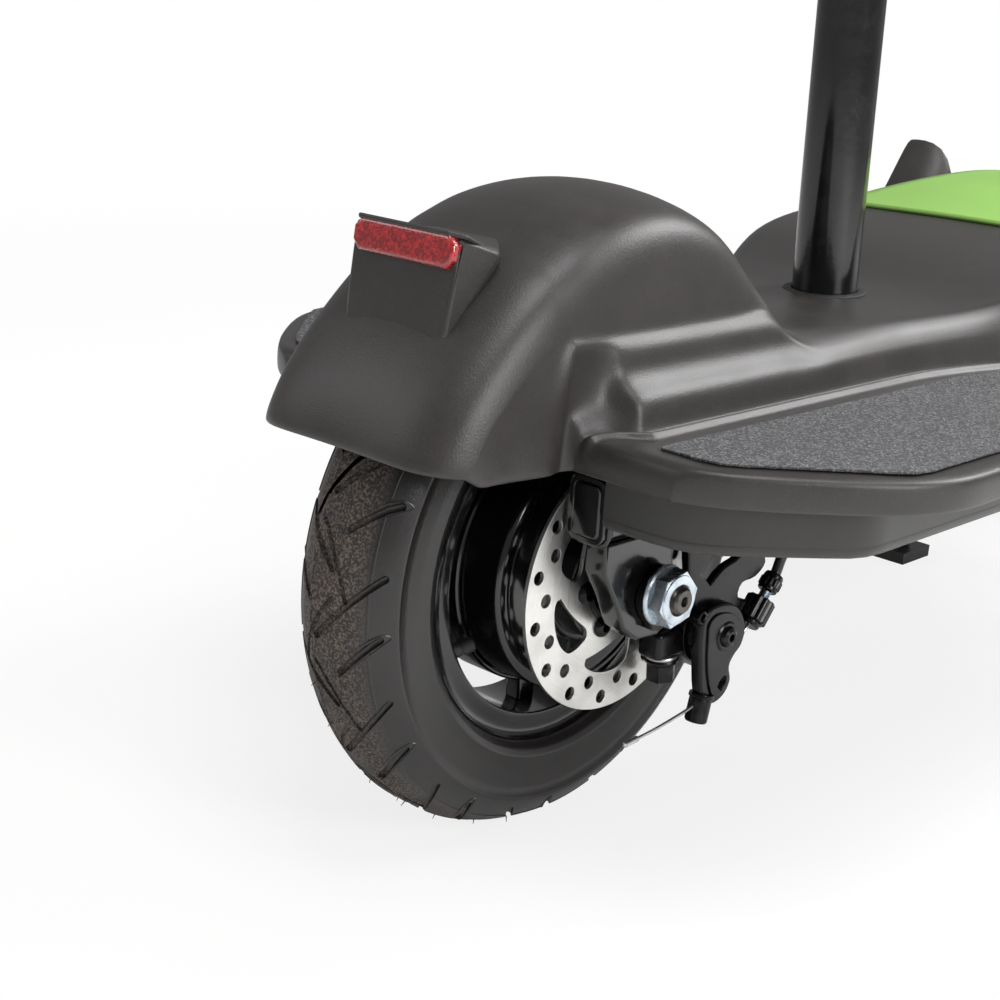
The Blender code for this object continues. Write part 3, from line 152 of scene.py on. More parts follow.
def new_material(name):
    """A material with a Principled shader, that shader, and the Object coordinates in metres."""
    shade = bpy.data.materials.new(name)
    shade.use_nodes = True
    return shade, shade.node_tree.nodes["Principled BSDF"], add_node(shade, "TexCoord").outputs["Object"]


def noise(shade, coords, scale, detail, roughness=0.5):
    """Soft random clouds from 0 to 1, so many to the metre."""
    sockets = {"Vector": coords, "Scale": scale, "Detail": detail, "Roughness": roughness}
    return add_node(shade, "TexNoise", None, sockets).outputs["Fac"]


def grains(shade, coords, size_mm, **settings):
    """Voronoi cells of about a size in millimetres."""
    return add_node(shade, "TexVoronoi", settings, {"Vector": coords, "Scale": 1 / (size_mm * MM)})


def ramp(owner, value, span=(0, 1), onto=(0, 1), **settings):
    """Moves a value from one span of numbers onto another, and holds it there."""
    limits = dict(zip(("From Min", "From Max", "To Min", "To Max"), (*span, *onto)))
    return add_node(owner, "MapRange", settings, {"Value": value, **limits}).outputs["Result"]


def blend(shade, share, first, second):
    """The first colour where the share is 0, the second where it is 1."""
    return add_node(shade, "Mix", {"data_type": "RGBA"}, {0: share, 6: first, 7: second}).outputs[2]


def times(shade, first, second):
    """One value times another."""
    return add_node(shade, "Math", {"operation": "MULTIPLY"}, {0: first, 1: second}).outputs[0]


def relief(shade, height, strength, depth_mm, over=None):
    """Small bumps from a height of 0 to 1, of a depth in millimetres, over a coarser relief."""
    sockets = {"Height": height, "Strength": strength, "Distance": depth_mm * MM}
    if over is not None:
        sockets["Normal"] = over
    return add_node(shade, "Bump", None, sockets).outputs["Normal"]


def axle_distance(shade, coords, centre):
    """Metres from an axle that runs along X."""
    offset = add_node(shade, "VectorMath", {"operation": "SUBTRACT"}, {0: coords, 1: tuple(centre)})
    flat = add_node(shade, "VectorMath", {"operation": "MULTIPLY"}, {0: offset.outputs[0], 1: (0, 1, 1)})
    return add_node(shade, "VectorMath", {"operation": "LENGTH"}, {0: flat.outputs[0]}).outputs["Value"]


# %% [markdown]
# The studio is a pale floor that fades to white far from the scooter, a soft white sky, and four
# large soft lamps. The one overhead draws the long highlights on the fender. The one in front
# catches the edges that face forward, such as the ledge and the bead along the foot wing. One
# stands at the right and a weak one at the left. Large lamps give broad, soft reflections.

# %% Floor
floor_bm = bmesh.new()
bmesh.ops.create_circle(floor_bm, cap_ends=True, segments=96, radius=30)
studio_floor = mesh_object("studio_floor", floor_bm)
floor_shade, floor_principled, floor_coords = new_material("pale matt floor")
feed(floor_shade, floor_principled, {"Base Color": "F4F4F3", "Roughness": 0.9, "Specular IOR Level": 0.2})
distance = add_node(floor_shade, "VectorMath", {"operation": "LENGTH"}, {0: floor_coords}).outputs["Value"]
fade = ramp(floor_shade, distance, (0.85, 1.9), interpolation_type="SMOOTHSTEP")
pale = ramp(floor_shade, fade, onto=(0.80, 1.0))
shown = times(floor_shade, pale, add_node(floor_shade, "LightPath").outputs["Is Camera Ray"])
white = add_node(floor_shade, "Emission", None, {"Color": (1, 1, 1, 1)}).outputs["Emission"]
matt = floor_principled.outputs["BSDF"]
floor_mix = add_node(floor_shade, "MixShader", None, {0: shown, 1: matt, 2: white})
feed(floor_shade, floor_shade.node_tree.nodes["Material Output"], {"Surface": floor_mix.outputs["Shader"]})
studio_floor.data.materials.append(floor_shade)
print("floor made")

# %% Sky and lamps
SKY_LIGHT = 0.33
world = bpy.data.worlds.new("white studio")
bpy.context.scene.world = world
world.use_nodes = True
sky = ramp(world, add_node(world, "LightPath").outputs["Is Camera Ray"], onto=(SKY_LIGHT, 1.0))
feed(world, world.node_tree.nodes["Background"], {"Strength": sky, "Color": (1, 1, 1, 1)})
for name, place, aim_at, size, power in (
    ("overhead lamp", (0.5, -0.6, 2.4), (0, -0.2, 0.2), 1.1, 30),
    ("front lamp", (0.65, 1.1, 1.5), (0, -0.35, 0.2), 0.9, 35),
    ("right lamp", (2.1, -0.5, 1.1), (0, -0.2, 0.2), 0.8, 30),
    ("left lamp", (-1.6, -1.9, 1.4), (0, -0.3, 0.2), 1.0, 8),
):
    lamp = in_scene(name, bpy.data.lights.new(name, "AREA"))
    lamp.data.size = size
    lamp.data.energy = power
    lamp.location = place
    lamp.rotation_euler = (Vector(aim_at) - Vector(place)).to_track_quat("-Z", "Y").to_euler()
bpy.context.scene.view_settings.view_transform = "Standard"
print("world and", len(bpy.data.lights), "lamps made")

# %% [markdown]
# The big shell is moulded ABS with a spark-eroded texture: the mould's surface is pitted, so the
# plastic comes out matt, with grains under half a millimetre wide. Noise at two sizes gives
# the grain and the slight unevenness of thick moulded plastic, and the colour wanders a little.
# The same recipe with other numbers makes the darker polypropylene trays and the green cover.

# %% Moulded plastics
def moulded_plastic(name, hexcode, dust, roughness, grain_mm, grain_depth):
    """A matt moulded plastic: fine pits, broad unevenness and a trace of dust."""
    shade, principled, coords = new_material(name)
    grain = noise(shade, coords, 1 / (grain_mm * MM), 3)
    broad = noise(shade, coords, 22, 6, 0.7)
    dusty = blend(shade, ramp(shade, broad, (0.45, 0.8), (0, 0.35)), hexcode, dust)
    pits = relief(shade, grain, grain_depth, 0.4, over=relief(shade, broad, 0.25, 0.6))
    feed(shade, principled, {
        "Base Color": blend(shade, ramp(shade, grain, (0.55, 0.72), (0, 0.28)), dusty, dust),
        "Roughness": ramp(shade, broad, onto=(roughness - 0.07, roughness + 0.09)),
        "Normal": pits,
        "IOR": 1.5,
    })
    return shade


abs_shell = moulded_plastic("ABS moulded, spark texture", "2A2726", "45413F", 0.40, 0.8, 0.30)
tray_plastic = moulded_plastic("polypropylene moulded", "252322", "3C3A38", 0.40, 0.7, 0.15)
green_abs = moulded_plastic("ABS moulded, green", "8ABC53", "9CC571", 0.38, 0.9, 0.10)
soft_seal = moulded_plastic("rubber trim", "141414", "2A2928", 0.62, 0.5, 0.10)
print("plastics:", abs_shell.name, "/", tray_plastic.name, "/", green_abs.name)

# %% [markdown]
# Grip tape is silicon carbide grit glued to a film. The grains are under a millimetre, each with
# its own tilt and shine, so cells of a Voronoi pattern give every grain a height and a painted glint:
# some grains get a lighter grey that stands in for the light their facets throw back.

# %% Grip tape
grip_tape, principled, coords = new_material("silicon carbide grip tape")
grit = grains(grip_tape, coords, 0.75)
grain_glint_and_height = add_node(grip_tape, "SeparateColor", None, {"Color": grit.outputs["Color"]})
film = blend(grip_tape, noise(grip_tape, coords, 22, 3), "2E2E30", "4A4A4C")
# Painted glint: the lighter grey 8E8E90 on some grains stands in for the sparkle of their facets.
feed(grip_tape, principled, {
    "Base Color": blend(grip_tape, ramp(grip_tape, grain_glint_and_height.outputs[0], (0.55, 1), (0, 0.7)), film, "8E8E90"),
    "Roughness": 0.75,
    "Normal": relief(grip_tape, grain_glint_and_height.outputs[1], 0.9, 0.5),
})
print("grip tape:", grip_tape.name)

# %% [markdown]
# Black paint comes in two finishes. The frame rails, seat tube, rims and motor wear a wet gloss
# enamel whose film is never quite flat, which the orange-peel noise of about 2 mm shows in its
# reflections. The stand is powder-coated, duller and slightly pebbled.

# %% Paints
def painted(name, hexcode, roughness, peel_mm, peel_depth, coat):
    """A paint film: base colour, orange peel, a little dust and a clear coat."""
    shade, principled, coords = new_material(name)
    peel = noise(shade, coords, 1 / (peel_mm * MM), 2)
    dust = noise(shade, coords, 45, 6, 0.7)
    feed(shade, principled, {
        "Base Color": blend(shade, ramp(shade, dust, (0.5, 0.8), (0, 0.22)), hexcode, "4A4845"),
        "Roughness": ramp(shade, dust, onto=(roughness - 0.04, roughness + 0.12)),
        "Normal": relief(shade, peel, peel_depth, 0.3),
        "Coat Weight": coat,
        "Coat Roughness": 0.06,
    })
    return shade


gloss_enamel = painted("steel, black gloss enamel", "0A090A", 0.13, 2.5, 0.12, 0.25)
powder_coat = painted("steel, black powder coat", "141313", 0.38, 0.9, 0.35, 0.0)
print("paints:", gloss_enamel.name, "/", powder_coat.name)

# %% [markdown]
# Metals differ by how they were finished. The disc is stainless steel, turned on a lathe, so its
# scratches run in circles about the axle: noise read against the distance from the axle gives them.
# Nuts are zinc-plated, with a bluish cast and cloudy patches. The axle is oiled steel, and the
# washers and bolts are blackened. The caliper is aluminium, cast and then anodised black.

# %% Turned stainless steel
# Real lathe lines are about 0.05 mm apart; they are drawn at 0.6 mm, the finest that shows.
disc_steel, principled, coords = new_material("stainless steel, turned")
radius = axle_distance(disc_steel, coords, REAR_AXLE)
lines = add_node(
    disc_steel, "TexNoise", {"noise_dimensions": "1D"}, {"W": radius, "Scale": 1 / (0.6 * MM), "Detail": 3}
).outputs["Fac"]
grime = ramp(disc_steel, noise(disc_steel, coords, 60, 5), (0.45, 0.8), (0, 0.45))
feed(disc_steel, principled, {
    "Base Color": blend(disc_steel, grime, "D9D8D5", "9A9894"),
    "Roughness": ramp(disc_steel, lines, onto=(0.2, 0.44)),
    "Normal": relief(disc_steel, lines, 0.10, 0.2),
    "Metallic": 1.0,
})
print("disc:", disc_steel.name)


# %% Plated and anodised metals
def cast_metal(name, hexcode, patch, metallic, roughness, patch_scale, grain_depth):
    """A metal whose skin is cloudy: plated, anodised or blackened, with a fine grain."""
    shade, principled, coords = new_material(name)
    cloud = noise(shade, coords, patch_scale, 5)
    feed(shade, principled, {
        "Base Color": blend(shade, ramp(shade, cloud, (0.42, 0.72), (0, 0.8)), hexcode, patch),
        "Roughness": ramp(shade, cloud, onto=(roughness - 0.08, roughness + 0.12)),
        "Normal": relief(shade, noise(shade, coords, 1 / (0.6 * MM), 2), grain_depth, 0.3),
        "Metallic": metallic,
    })
    return shade


zinc_plate = cast_metal("steel, zinc plated", "C3CBD2", "98A6B2", 1.0, 0.24, 160.0, 0.08)
black_anodised = cast_metal("aluminium, black anodised", "121112", "222122", 0.6, 0.22, 110.0, 0.14)
black_bolt = cast_metal("steel, black oxide", "1A191A", "323031", 0.8, 0.22, 220.0, 0.06)
axle_steel = cast_metal("steel, oiled axle", "5B5856", "43403E", 1.0, 0.30, 180.0, 0.10)
bare_aluminium = cast_metal("aluminium, brushed", "C9CACC", "A5A6A8", 1.0, 0.30, 140.0, 0.10)
chrome_post = cast_metal("steel, satin chrome", "D2D4D6", "B9BBBE", 1.0, 0.18, 40.0, 0.03)
controller_metal = cast_metal("aluminium, sand cast", "77787A", "5C5D5F", 0.9, 0.5, 60.0, 0.5)
print("metals:", zinc_plate.name, "/", black_anodised.name, "/", black_bolt.name)

# %% [markdown]
# Tyre rubber is dark brown-grey, not black. Road dust sits on the tread, most on its crown, and the
# flank is cleaner and smoother. The distance from the wheel's axle says which is which, so one
# material per wheel mixes the dusty crown into the clean flank by that distance.

# %% Rubber
def tyre_rubber(name, centre):
    """Rubber whose crown is dusty and speckled, and whose flank is smooth."""
    shade, principled, coords = new_material(name)
    radius = axle_distance(shade, coords, centre)
    crown = ramp(shade, radius, (0.1195, 0.1262), interpolation_type="SMOOTHSTEP")
    specks = noise(shade, coords, 1 / (1.1 * MM), 3)
    smears = noise(shade, coords, 35, 5)
    patchy = times(shade, times(shade, ramp(shade, specks, (0.46, 0.62)), crown), smears)
    feed(shade, principled, {
        "Base Color": blend(shade, patchy, blend(shade, smears, "181616", "221F1E"), "7E6E62"),
        "Roughness": ramp(shade, crown, onto=(0.30, 0.68)),
        "Normal": relief(shade, specks, 0.22, 0.4),
    })
    return shade


rear_rubber = tyre_rubber("rubber, rear tyre", REAR_AXLE)
front_rubber = tyre_rubber("rubber, front tyre", FRONT_AXLE)
grip_rubber = moulded_plastic("rubber, moulded grips", "1B1B1C", "343434", 0.6, 0.5, 0.25)
cable_jacket = moulded_plastic("PVC cable jacket", "121212", "2A2A2A", 0.35, 1.2, 0.05)
pad_compound = moulded_plastic("brake pad compound", "2B2724", "4A423C", 0.85, 0.8, 0.6)
print("rubbers:", rear_rubber.name, "/", front_rubber.name)

# %% [markdown]
# The reflector is a clear red acrylic cap. Light that enters it is turned back by rows of tiny cube
# corners behind, about a millimetre wide. A Voronoi pattern stands in for them under a smooth outer
# face: its cells give a relief and a painted glint, a red that runs from deep to light from cell to
# cell for the light that they turn back.

# %% Reflector, lamp and vinyl
def cube_corner_acrylic(name, deep, painted_glint):
    """Clear plastic with a smooth face over small cells of changing depth, and painted glints: a lighter
    colour in some cells.
    """
    shade, principled, coords = new_material(name)
    cells = grains(shade, coords, 1.1, distance="CHEBYCHEV")
    glint_share = add_node(shade, "SeparateColor", None, {"Color": cells.outputs["Color"]}).outputs[0]
    # Painted glints: cells with a high share take the lighter colour, for the light the cube corners turn
    # back.
    feed(shade, principled, {
        "Base Color": blend(shade, ramp(shade, glint_share, (0.35, 1), (0, 0.55)), deep, painted_glint),
        "Roughness": 0.16,
        "Normal": relief(shade, cells.outputs["Distance"], 0.3, 0.5),
        "Coat Weight": 0.9,
        "Coat Roughness": 0.04,
        "IOR": 1.49,
    })
    return shade


# Painted glints: the second colour, a lighter red or a near-white, fills some cells of each lens.
reflector_red = cube_corner_acrylic("acrylic, red, cube corners", "7E0A10", "DE2B30")
lamp_lens = cube_corner_acrylic("polycarbonate, clear, fluted", "C9CED2", "F2F5F6")
vinyl, principled, coords = new_material("vinyl, leather grain")
pebbles = grains(vinyl, coords, 2.2, feature="DISTANCE_TO_EDGE").outputs["Distance"]
feed(vinyl, principled, {
    "Base Color": blend(vinyl, noise(vinyl, coords, 30, 4), "171617", "2C2B2C"),
    "Roughness": 0.48,
    "Normal": relief(vinyl, pebbles, 0.5, 0.5),
})
thread = moulded_plastic("polyester thread", "3A3A3A", "5A5A5A", 0.7, 0.4, 0.3)
pack_wrap = moulded_plastic("PVC shrink wrap", "17181A", "25272A", 0.35, 3.0, 0.4)
print("materials so far:", len(bpy.data.materials))

# %% [markdown]
# Every new piece is built in a bmesh and then handed over. The hand-over merges doubled points,
# turns the faces outwards, smooths what is round and keeps what is sharp, gives the material, and
# ties the piece to the body it moves with. It also hides the CAD node that the piece stands for.

# %% Handing a mesh over
def hand_over(name, bm, material, body, sharp, stands_for=None, even=True):
    """A named object from a bmesh, riding on a body."""
    bmesh.ops.remove_doubles(bm, verts=bm.verts, dist=TWIN)
    bmesh.ops.recalc_face_normals(bm, faces=bm.faces)
    made = mesh_object(name, bm)
    made.data.shade_smooth()
    made.data.set_sharp_from_angle(angle=math.radians(sharp))
    made.data.materials.append(material)
    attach(made, body)
    if stands_for:
        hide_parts(stands_for)
    if even:
        modify(made, "flat faces stay flat", "WEIGHTED_NORMAL", keep_sharp=True)
    print(name, "has", len(made.data.polygons), "faces")
    return made


def evaluated(source):
    """A bmesh of an object with its modifiers applied, or of a curve. The object is removed."""
    bpy.context.view_layer.update()
    graph = bpy.context.evaluated_depsgraph_get()
    mesh = bpy.data.meshes.new_from_object(source.evaluated_get(graph))
    bm = bmesh.new()
    bm.from_mesh(mesh)
    bmesh.ops.transform(bm, matrix=source.matrix_world, verts=bm.verts)
    bpy.data.meshes.remove(mesh)
    bpy.data.objects.remove(source, do_unlink=True)
    return bm


def merged(*meshes):
    """Several bmeshes in one."""
    whole = bmesh.new()
    for part in meshes:
        carrier = bpy.data.meshes.new("carrier")
        part.to_mesh(carrier)
        part.free()
        whole.from_mesh(carrier)
        bpy.data.meshes.remove(carrier)
    return whole


# %% Turned, plate, box and tube shapes
def spun(profile, centre, steps=96, axis=(1, 0, 0)):
    """Spins a profile of (radius, distance along) about an axis. One that ends on the axis is solid."""
    bm = bmesh.new()
    axis = Vector(axis).normalized()
    out = axis.orthogonal().normalized()
    verts = [bm.verts.new(centre + (out * radius + axis * along) * MM) for radius, along in profile]
    pairs = [*zip(verts, verts[1:])]
    if profile[-1][0] > 0:
        pairs.append((verts[-1], verts[0]))
    edges = [bm.edges.new(pair) for pair in pairs]
    bmesh.ops.spin(
        bm, geom=verts + edges, cent=centre, axis=axis, dvec=(0, 0, 0), angle=2 * math.pi, steps=steps,
        use_merge=True, use_duplicate=False,
    )
    bmesh.ops.remove_doubles(bm, verts=bm.verts, dist=TWIN)
    return bm


SIDE_ON = Matrix(((0, 0, 1, 0), (1, 0, 0, 0), (0, 1, 0, 0), (0, 0, 0, 1)))
FACE_ON = Matrix.Rotation(math.radians(90), 4, "X")


def drawn(dimensions, lines, closed, settings):
    """A curve object from lines of (point, share of the curve's thickness)."""
    curve = bpy.data.curves.new("drawn", "CURVE")
    curve.dimensions = dimensions
    for name, value in settings.items():
        setattr(curve, name, value)
    for line in lines:
        spline = curve.splines.new("POLY")
        spline.points.add(len(line) - 1)
        for point, (place, share) in zip(spline.points, line):
            point.co = (*place, 1)
            point.radius = share
        spline.use_cyclic_u = closed
    return in_scene("drawn", curve)


def flat_plate(loops, thickness, rounding, middle, turn=Matrix.Identity(4)):
    """A plate from an outline and its holes, in millimetres, with rounded edges, turned and placed."""
    r = rounding * MM
    shape = {"fill_mode": "BOTH", "extrude": thickness / 2 * MM - r, "bevel_depth": r, "offset": -r}
    lines = [[((x * MM, y * MM, 0), 1) for x, y in loop] for loop in loops]
    plate = drawn("2D", lines, True, {**shape, "bevel_resolution": 2})
    plate.matrix_world = Matrix.Translation(middle) @ turn
    return evaluated(plate)


def tube_curve(lines, radius, resolution, closed=False):
    """A curve object of one round tube for each line of (point, share of the radius)."""
    shape = {"bevel_depth": radius * MM, "bevel_resolution": resolution, "use_fill_caps": not closed}
    return drawn("3D", lines, closed, shape)


def side_plate(loops, thickness, rounding, x):
    """A plate square to X at a distance from the middle, its outline in (y, z)."""
    return flat_plate(loops, thickness, rounding, at(x, 0, 0), SIDE_ON)


def ring_of(radius, count, y=0.0, z=0.0, start=0.0):
    """Points spread evenly round a circle, as a flat outline."""
    turns = [start + 2 * math.pi * k / count for k in range(count)]
    return [(y + radius * math.cos(a), z + radius * math.sin(a)) for a in turns]


def round_edges(bm, edges, rounding, segments=3, clamp=True):
    """Rounds edges by a number of millimetres, less where there is no room."""
    bmesh.ops.bevel(
        bm, geom=edges, offset=rounding * MM, offset_type="OFFSET", affect="EDGES", segments=segments,
        profile=0.5, clamp_overlap=clamp, material=-1,
    )


def rounded_box(size, centre, rounding, segments, turn=Matrix.Identity(4)):
    """A box in millimetres with all its edges rounded, turned before it is put in place."""
    bm = bmesh.new()
    bmesh.ops.create_cube(bm, size=1.0)
    bmesh.ops.scale(bm, vec=Vector(size) * MM, verts=bm.verts)
    round_edges(bm, bm.edges, rounding, segments, clamp=False)
    bmesh.ops.transform(bm, matrix=Matrix.Translation(centre) @ turn, verts=bm.verts)
    return bm


def through(points, per_span=6):
    """A smooth line through points: a Catmull-Rom curve read at even steps."""
    points = [Vector(p) for p in points]
    ends = [points[0] * 2 - points[1], *points, points[-1] * 2 - points[-2]]
    path = []
    for a, b, c, d in zip(ends, ends[1:], ends[2:], ends[3:]):
        for k in range(per_span):
            t = k / per_span
            bend = (2 * a - 5 * b + 4 * c - d) * t**2 + (3 * b - a - 3 * c + d) * t**3
            path.append(0.5 * (2 * b + (c - a) * t + bend))
    return [*path, points[-1]]


def smooth_loop(points, per_span=3, closed=True):
    """A flat outline that flows through points. An open one is closed by a straight edge."""
    line = through([(x, y, 0) for x, y in ([*points, points[0]] if closed else points)], per_span)
    return [(p.x, p.y) for p in (line[:-1] if closed else line)]


def even_tube(path, radius, resolution, closed=False):
    """A bmesh of one round tube of the same thickness all along a path."""
    return evaluated(tube_curve([[(p, 1.0) for p in path]], radius, resolution, closed))


def facing(direction):
    """The turn that brings Z to a direction."""
    return direction.to_track_quat("Z", "Y").to_matrix().to_4x4()


def rod(radius, start, end, sides, rounding=0.0):
    """A solid round bar between two points, in millimetres of radius and edge rounding."""
    start, end = Vector(start), Vector(end)
    length = (end - start).length / MM
    r = rounding
    profile = [(0, 0), (radius - r, 0), (radius - 0.3 * r, 0.3 * r), (radius, r)]
    profile += [(radius, length - r), (radius - 0.3 * r, length - 0.3 * r), (radius - r, length)]
    profile = [*profile, (0, length)] if r else [(0, 0), (radius, 0), (radius, length), (0, length)]
    return spun(profile, start, sides, end - start)


print("shape helpers ready")

# %% [markdown]
# The shell is one moulding: a dome over the wheel, a tunnel along the frame, and a foot wing on
# each side with a turned-down skirt. A loft suits it. Cross-sections measured from the photograph
# stand like ribs, each drawn for the right half only; bridging joins rib to rib, a mirror gives
# the left half, a wall gives it thickness, and a subdivision surface makes the curves flow.

# %% Cross-sections of the shell
WING_HALF, WING_TOP, SKIRT = 191.0, 75.5, 15.5


def bowed(first, middle, last, t):
    """A point of the smooth curve through three points, from t = 0 to t = 1."""
    shares = (2 * (t - 0.5) * (t - 1), 4 * t * (1 - t), 2 * t * (t - 0.5))
    marks = list(zip(shares, (first, middle, last)))
    return tuple(sum(share * point[k] for share, point in marks) for k in (0, 1))


def rib(y, crown, shoulder, wall, ledge, tunnel, ridge, wing, outer, crease=None):
    """One rib of the deck, from the crown out to the skirt's lower edge, in millimetres."""
    (x2, z2), (x4, z4) = shoulder, wall
    band = [bowed(wall, ledge, tunnel, t) for t in (0.25, 0.5, 0.62, 0.74, 0.87, 1.0)]
    if crease:
        out, rise = tunnel[0] - crease[0], crease[1] - tunnel[1]
        top_of_tunnel = (tunnel[0] - 0.55 * out, tunnel[1] + 0.42 * rise)
        above = (x4 + 0.2 * (ledge[0] - x4), ledge[1] + min(2.8, 0.5 * (z4 - ledge[1])))
        under = ledge[0] + min(4, 0.8 * (crease[0] - ledge[0]) + 0.3)
        below = (under, ledge[1] - min(4.3, 0.5 * (ledge[1] - crease[1])))
        band = [above, ledge, below, crease, top_of_tunnel, tunnel]
    return [
        (0, y, crown),
        (x2 * 0.5, y, crown - (crown - z2) * 0.22),
        (x2, y, z2),
        (x2 + 0.71 * (x4 - x2), y, z4 + 0.71 * (z2 - z4)),
        (x4, y, z4),
        *((x, y, z) for x, z in band),
        (ridge - 4.4, y, wing + min(4.5, 0.4 * (tunnel[1] - wing))),
        (ridge - 2.3, y, wing - 1.2),
        (ridge + 0.6, y, wing + min(4.4, 0.35 * (tunnel[1] - wing))),
        (ridge + 3.2, y, wing - 0.6),
        (ridge + 6.5, y, wing),
        (ridge + 0.35 * (outer - ridge), y, wing),
        (outer - 2.2, y, wing),
        (outer, y, wing - 2.2),
        (outer, y, wing - SKIRT),
    ]


EVEN_STEPS = (0.05, 0.08, 0.17, 0.26, 0.40, 0.62, 1)
MIDDLE_STEPS = (0.07, 0.14, 0.26, 0.38, 0.52, 0.72, 1)
LOW_STEPS = (0.08, 0.17, 0.29, 0.42, 0.56, 0.75, 1)
HIGH_STEPS = (0.07, 0.14, 0.25, 0.38, 0.52, 0.72, 1)


def tail_rib(y, crown, shoulder_z, wall_z, edge_z, wrap, flare=(0,) * 7, steps=EVEN_STEPS):
    """A rib of the dome behind the deck, whose sides lie further forward than its crown."""
    x2, x4 = 42, 58
    flank = zip(steps, flare)
    return [
        (0, y, crown),
        (x2 * 0.5, y, crown - (crown - shoulder_z) * 0.22),
        (x2, y, shoulder_z),
        (x2 + 0.71 * (x4 - x2), y + 0.25 * wrap, wall_z + 0.71 * (shoulder_z - wall_z)),
        (x4, y + 0.65 * wrap, wall_z),
        *((x4 + out, y + (0.65 + 0.35 * t) * wrap, wall_z - t * (wall_z - edge_z)) for t, out in flank),
    ]


dome_line = [
    (-124, 66.5), (-120, 80), (-111, 97), (-97, 114), (-79, 131.5), (-61, 144.5), (-41, 155.5),
    (-20, 163.4), (0, 167.6), (20, 168.5), (40, 163.6), (58, 153.6), (72, 139.5), (82, 124), (90, 112.5),
]
wing_line = [
    (-53, 113), (-50, 122), (-43, 133), (-29, 148), (-14, 162), (2, 177), (18, 188), (32, WING_HALF),
]


def read_line(knots, y):
    """The value at a place on the straight runs between knots of (place, value)."""
    for (y0, v0), (y1, v1) in zip(knots, knots[1:]):
        if y <= y1:
            return v0 + (v1 - v0) * (y - y0) / (y1 - y0)
    return knots[-1][1]


tail_ribs = [
    tail_rib(-124, 66.5, 66, 64, 59.5, 25),
    tail_rib(-120, 80, 77, 74, 59.2, 27),
    tail_rib(-111, 97, 92.5, 85, 58.8, 23),
    tail_rib(-97, 114, 108.5, 93.5, 58.5, 15),
    tail_rib(-79, 131.5, 125.5, 104, 58.2, 4, (0, 0.2, 0.4, 0.7, 1, 1, 1)),
    tail_rib(-67, 141, 135, 112.5, 58.4, 1, (0.2, 0.6, 1.2, 2, 2.4, 2.6, 2.6), MIDDLE_STEPS),
    tail_rib(-60, 145, 139, 117, 58.5, 0, (0.3, 0.9, 2.2, 3.8, 3.8, 3.6, 3.6), LOW_STEPS),
    tail_rib(-56, 147.5, 141, 118, 58.5, 0, (0.5, 2, 4.6, 3.4, 1.8, 1, 1), HIGH_STEPS),
]
print("tail ribs:", len(tail_ribs))

# %% Ribs of the deck and cowl
deck_ribs = []
skirt_low = WING_TOP - SKIRT
for y, wing, tunnel, crease, ridge in (
    (-53, skirt_low, (60, 82), (60, 98), 68),
    (-52.5, WING_TOP - 3, (60, 83), (60, 98), 68),
    (-49, WING_TOP, (61, 84), (60, 98), 69),
    (-43, WING_TOP, (63, 85), (60, 98), 71),
    (-38, WING_TOP, (64, 86), (61, 98), 74),
    (-34, WING_TOP, (67, 87), (62.5, 98.5), 79),
    (-30.5, WING_TOP, (76, 88.5), (64.5, 99), 82.5),
    (-27, WING_TOP, (77.5, 89), (65.5, 99.5), 83),
):
    top, wing_half = read_line(dome_line, y), read_line(wing_line, y)
    row = rib(y, top, (42, top - 6), (58, top - 30), (61.3, 111.2), tunnel, ridge, wing, wing_half, crease)
    if wing == skirt_low:
        row = row[:11] + [(x, row_y, skirt_low) for x, row_y, z in row[11:]]
    deck_ribs.append(row[:-1] + [(wing_half, y, skirt_low)])
for y in (-15, 10, 35, 55, 68, 76):
    top, wing_half = read_line(dome_line, y), read_line(wing_line, y)
    wall = max(top - 28, 116)
    shoulder = max(top - 6, wall + 2)
    inner = (42, shoulder), (58, wall), (61.5, 111.2), (77.5, 89.2)
    deck_ribs.append(rib(y, top, *inner, 83, WING_TOP, wing_half, (66.2, 99.5)))
for y, top, shoulder, wall, ledge, crease in (
    (82, 124, 119, (58, 114), (61.5, 109.6), (66.2, 99.3)),
    (88, 114.5, 111.5, (57.5, 108), (61.8, 104.5), (66.5, 98.6)),
    (94, 106.5, 105.4, (57, 103), (64, 100), (68, 96.6)),
):
    deck_ribs.append(
        rib(y, top, (42, shoulder), wall, ledge, (77.5, 88.6), 83, WING_TOP, WING_HALF, crease)
    )
deck_ribs.append(rib(103, 102.2, (42, 102), (59, 100.4), (69, 96), (77.7, 87.2), 83, WING_TOP, WING_HALF))
for y, top, shoulder, wall_x, wall_z, ledge_x, tunnel_x, ridge in (
    (120, 101.5, 101.2, 61, 99.8, 70.3, 77.5, 83),
    (160, 100.5, 100.4, 64, 100, 70.8, 77, 83),
    (189.8, 99.8, 99.8, 64.5, 100, 71.5, 77.5, 84),
    (239.8, 99.6, 99.6, 73, 101, 81, 87, 95),
    (265, 103, 105, 84, 108.5, 92, 98, 107),
    (300.8, 112, 114, 98, 116, 107, 114, 122),
    (350.3, 119, 119, 113, 118.5, 122, 129, 137),
    (412.1, 124.5, 122, 124, 119.5, 132, 139, 146),
    (469.9, 131, 128.5, 124, 125, 132, 139, 146),
    (540, 137, 134, 120, 130, 129, 137, 145),
):
    shoulder_at, wall_at = (wall_x * 0.72, shoulder), (wall_x, wall_z)
    ledge_at, tunnel_at = (ledge_x, wall_z - 4), (tunnel_x, wall_z - 12)
    deck_ribs.append(rib(y, top, shoulder_at, wall_at, ledge_at, tunnel_at, ridge, WING_TOP, WING_HALF))
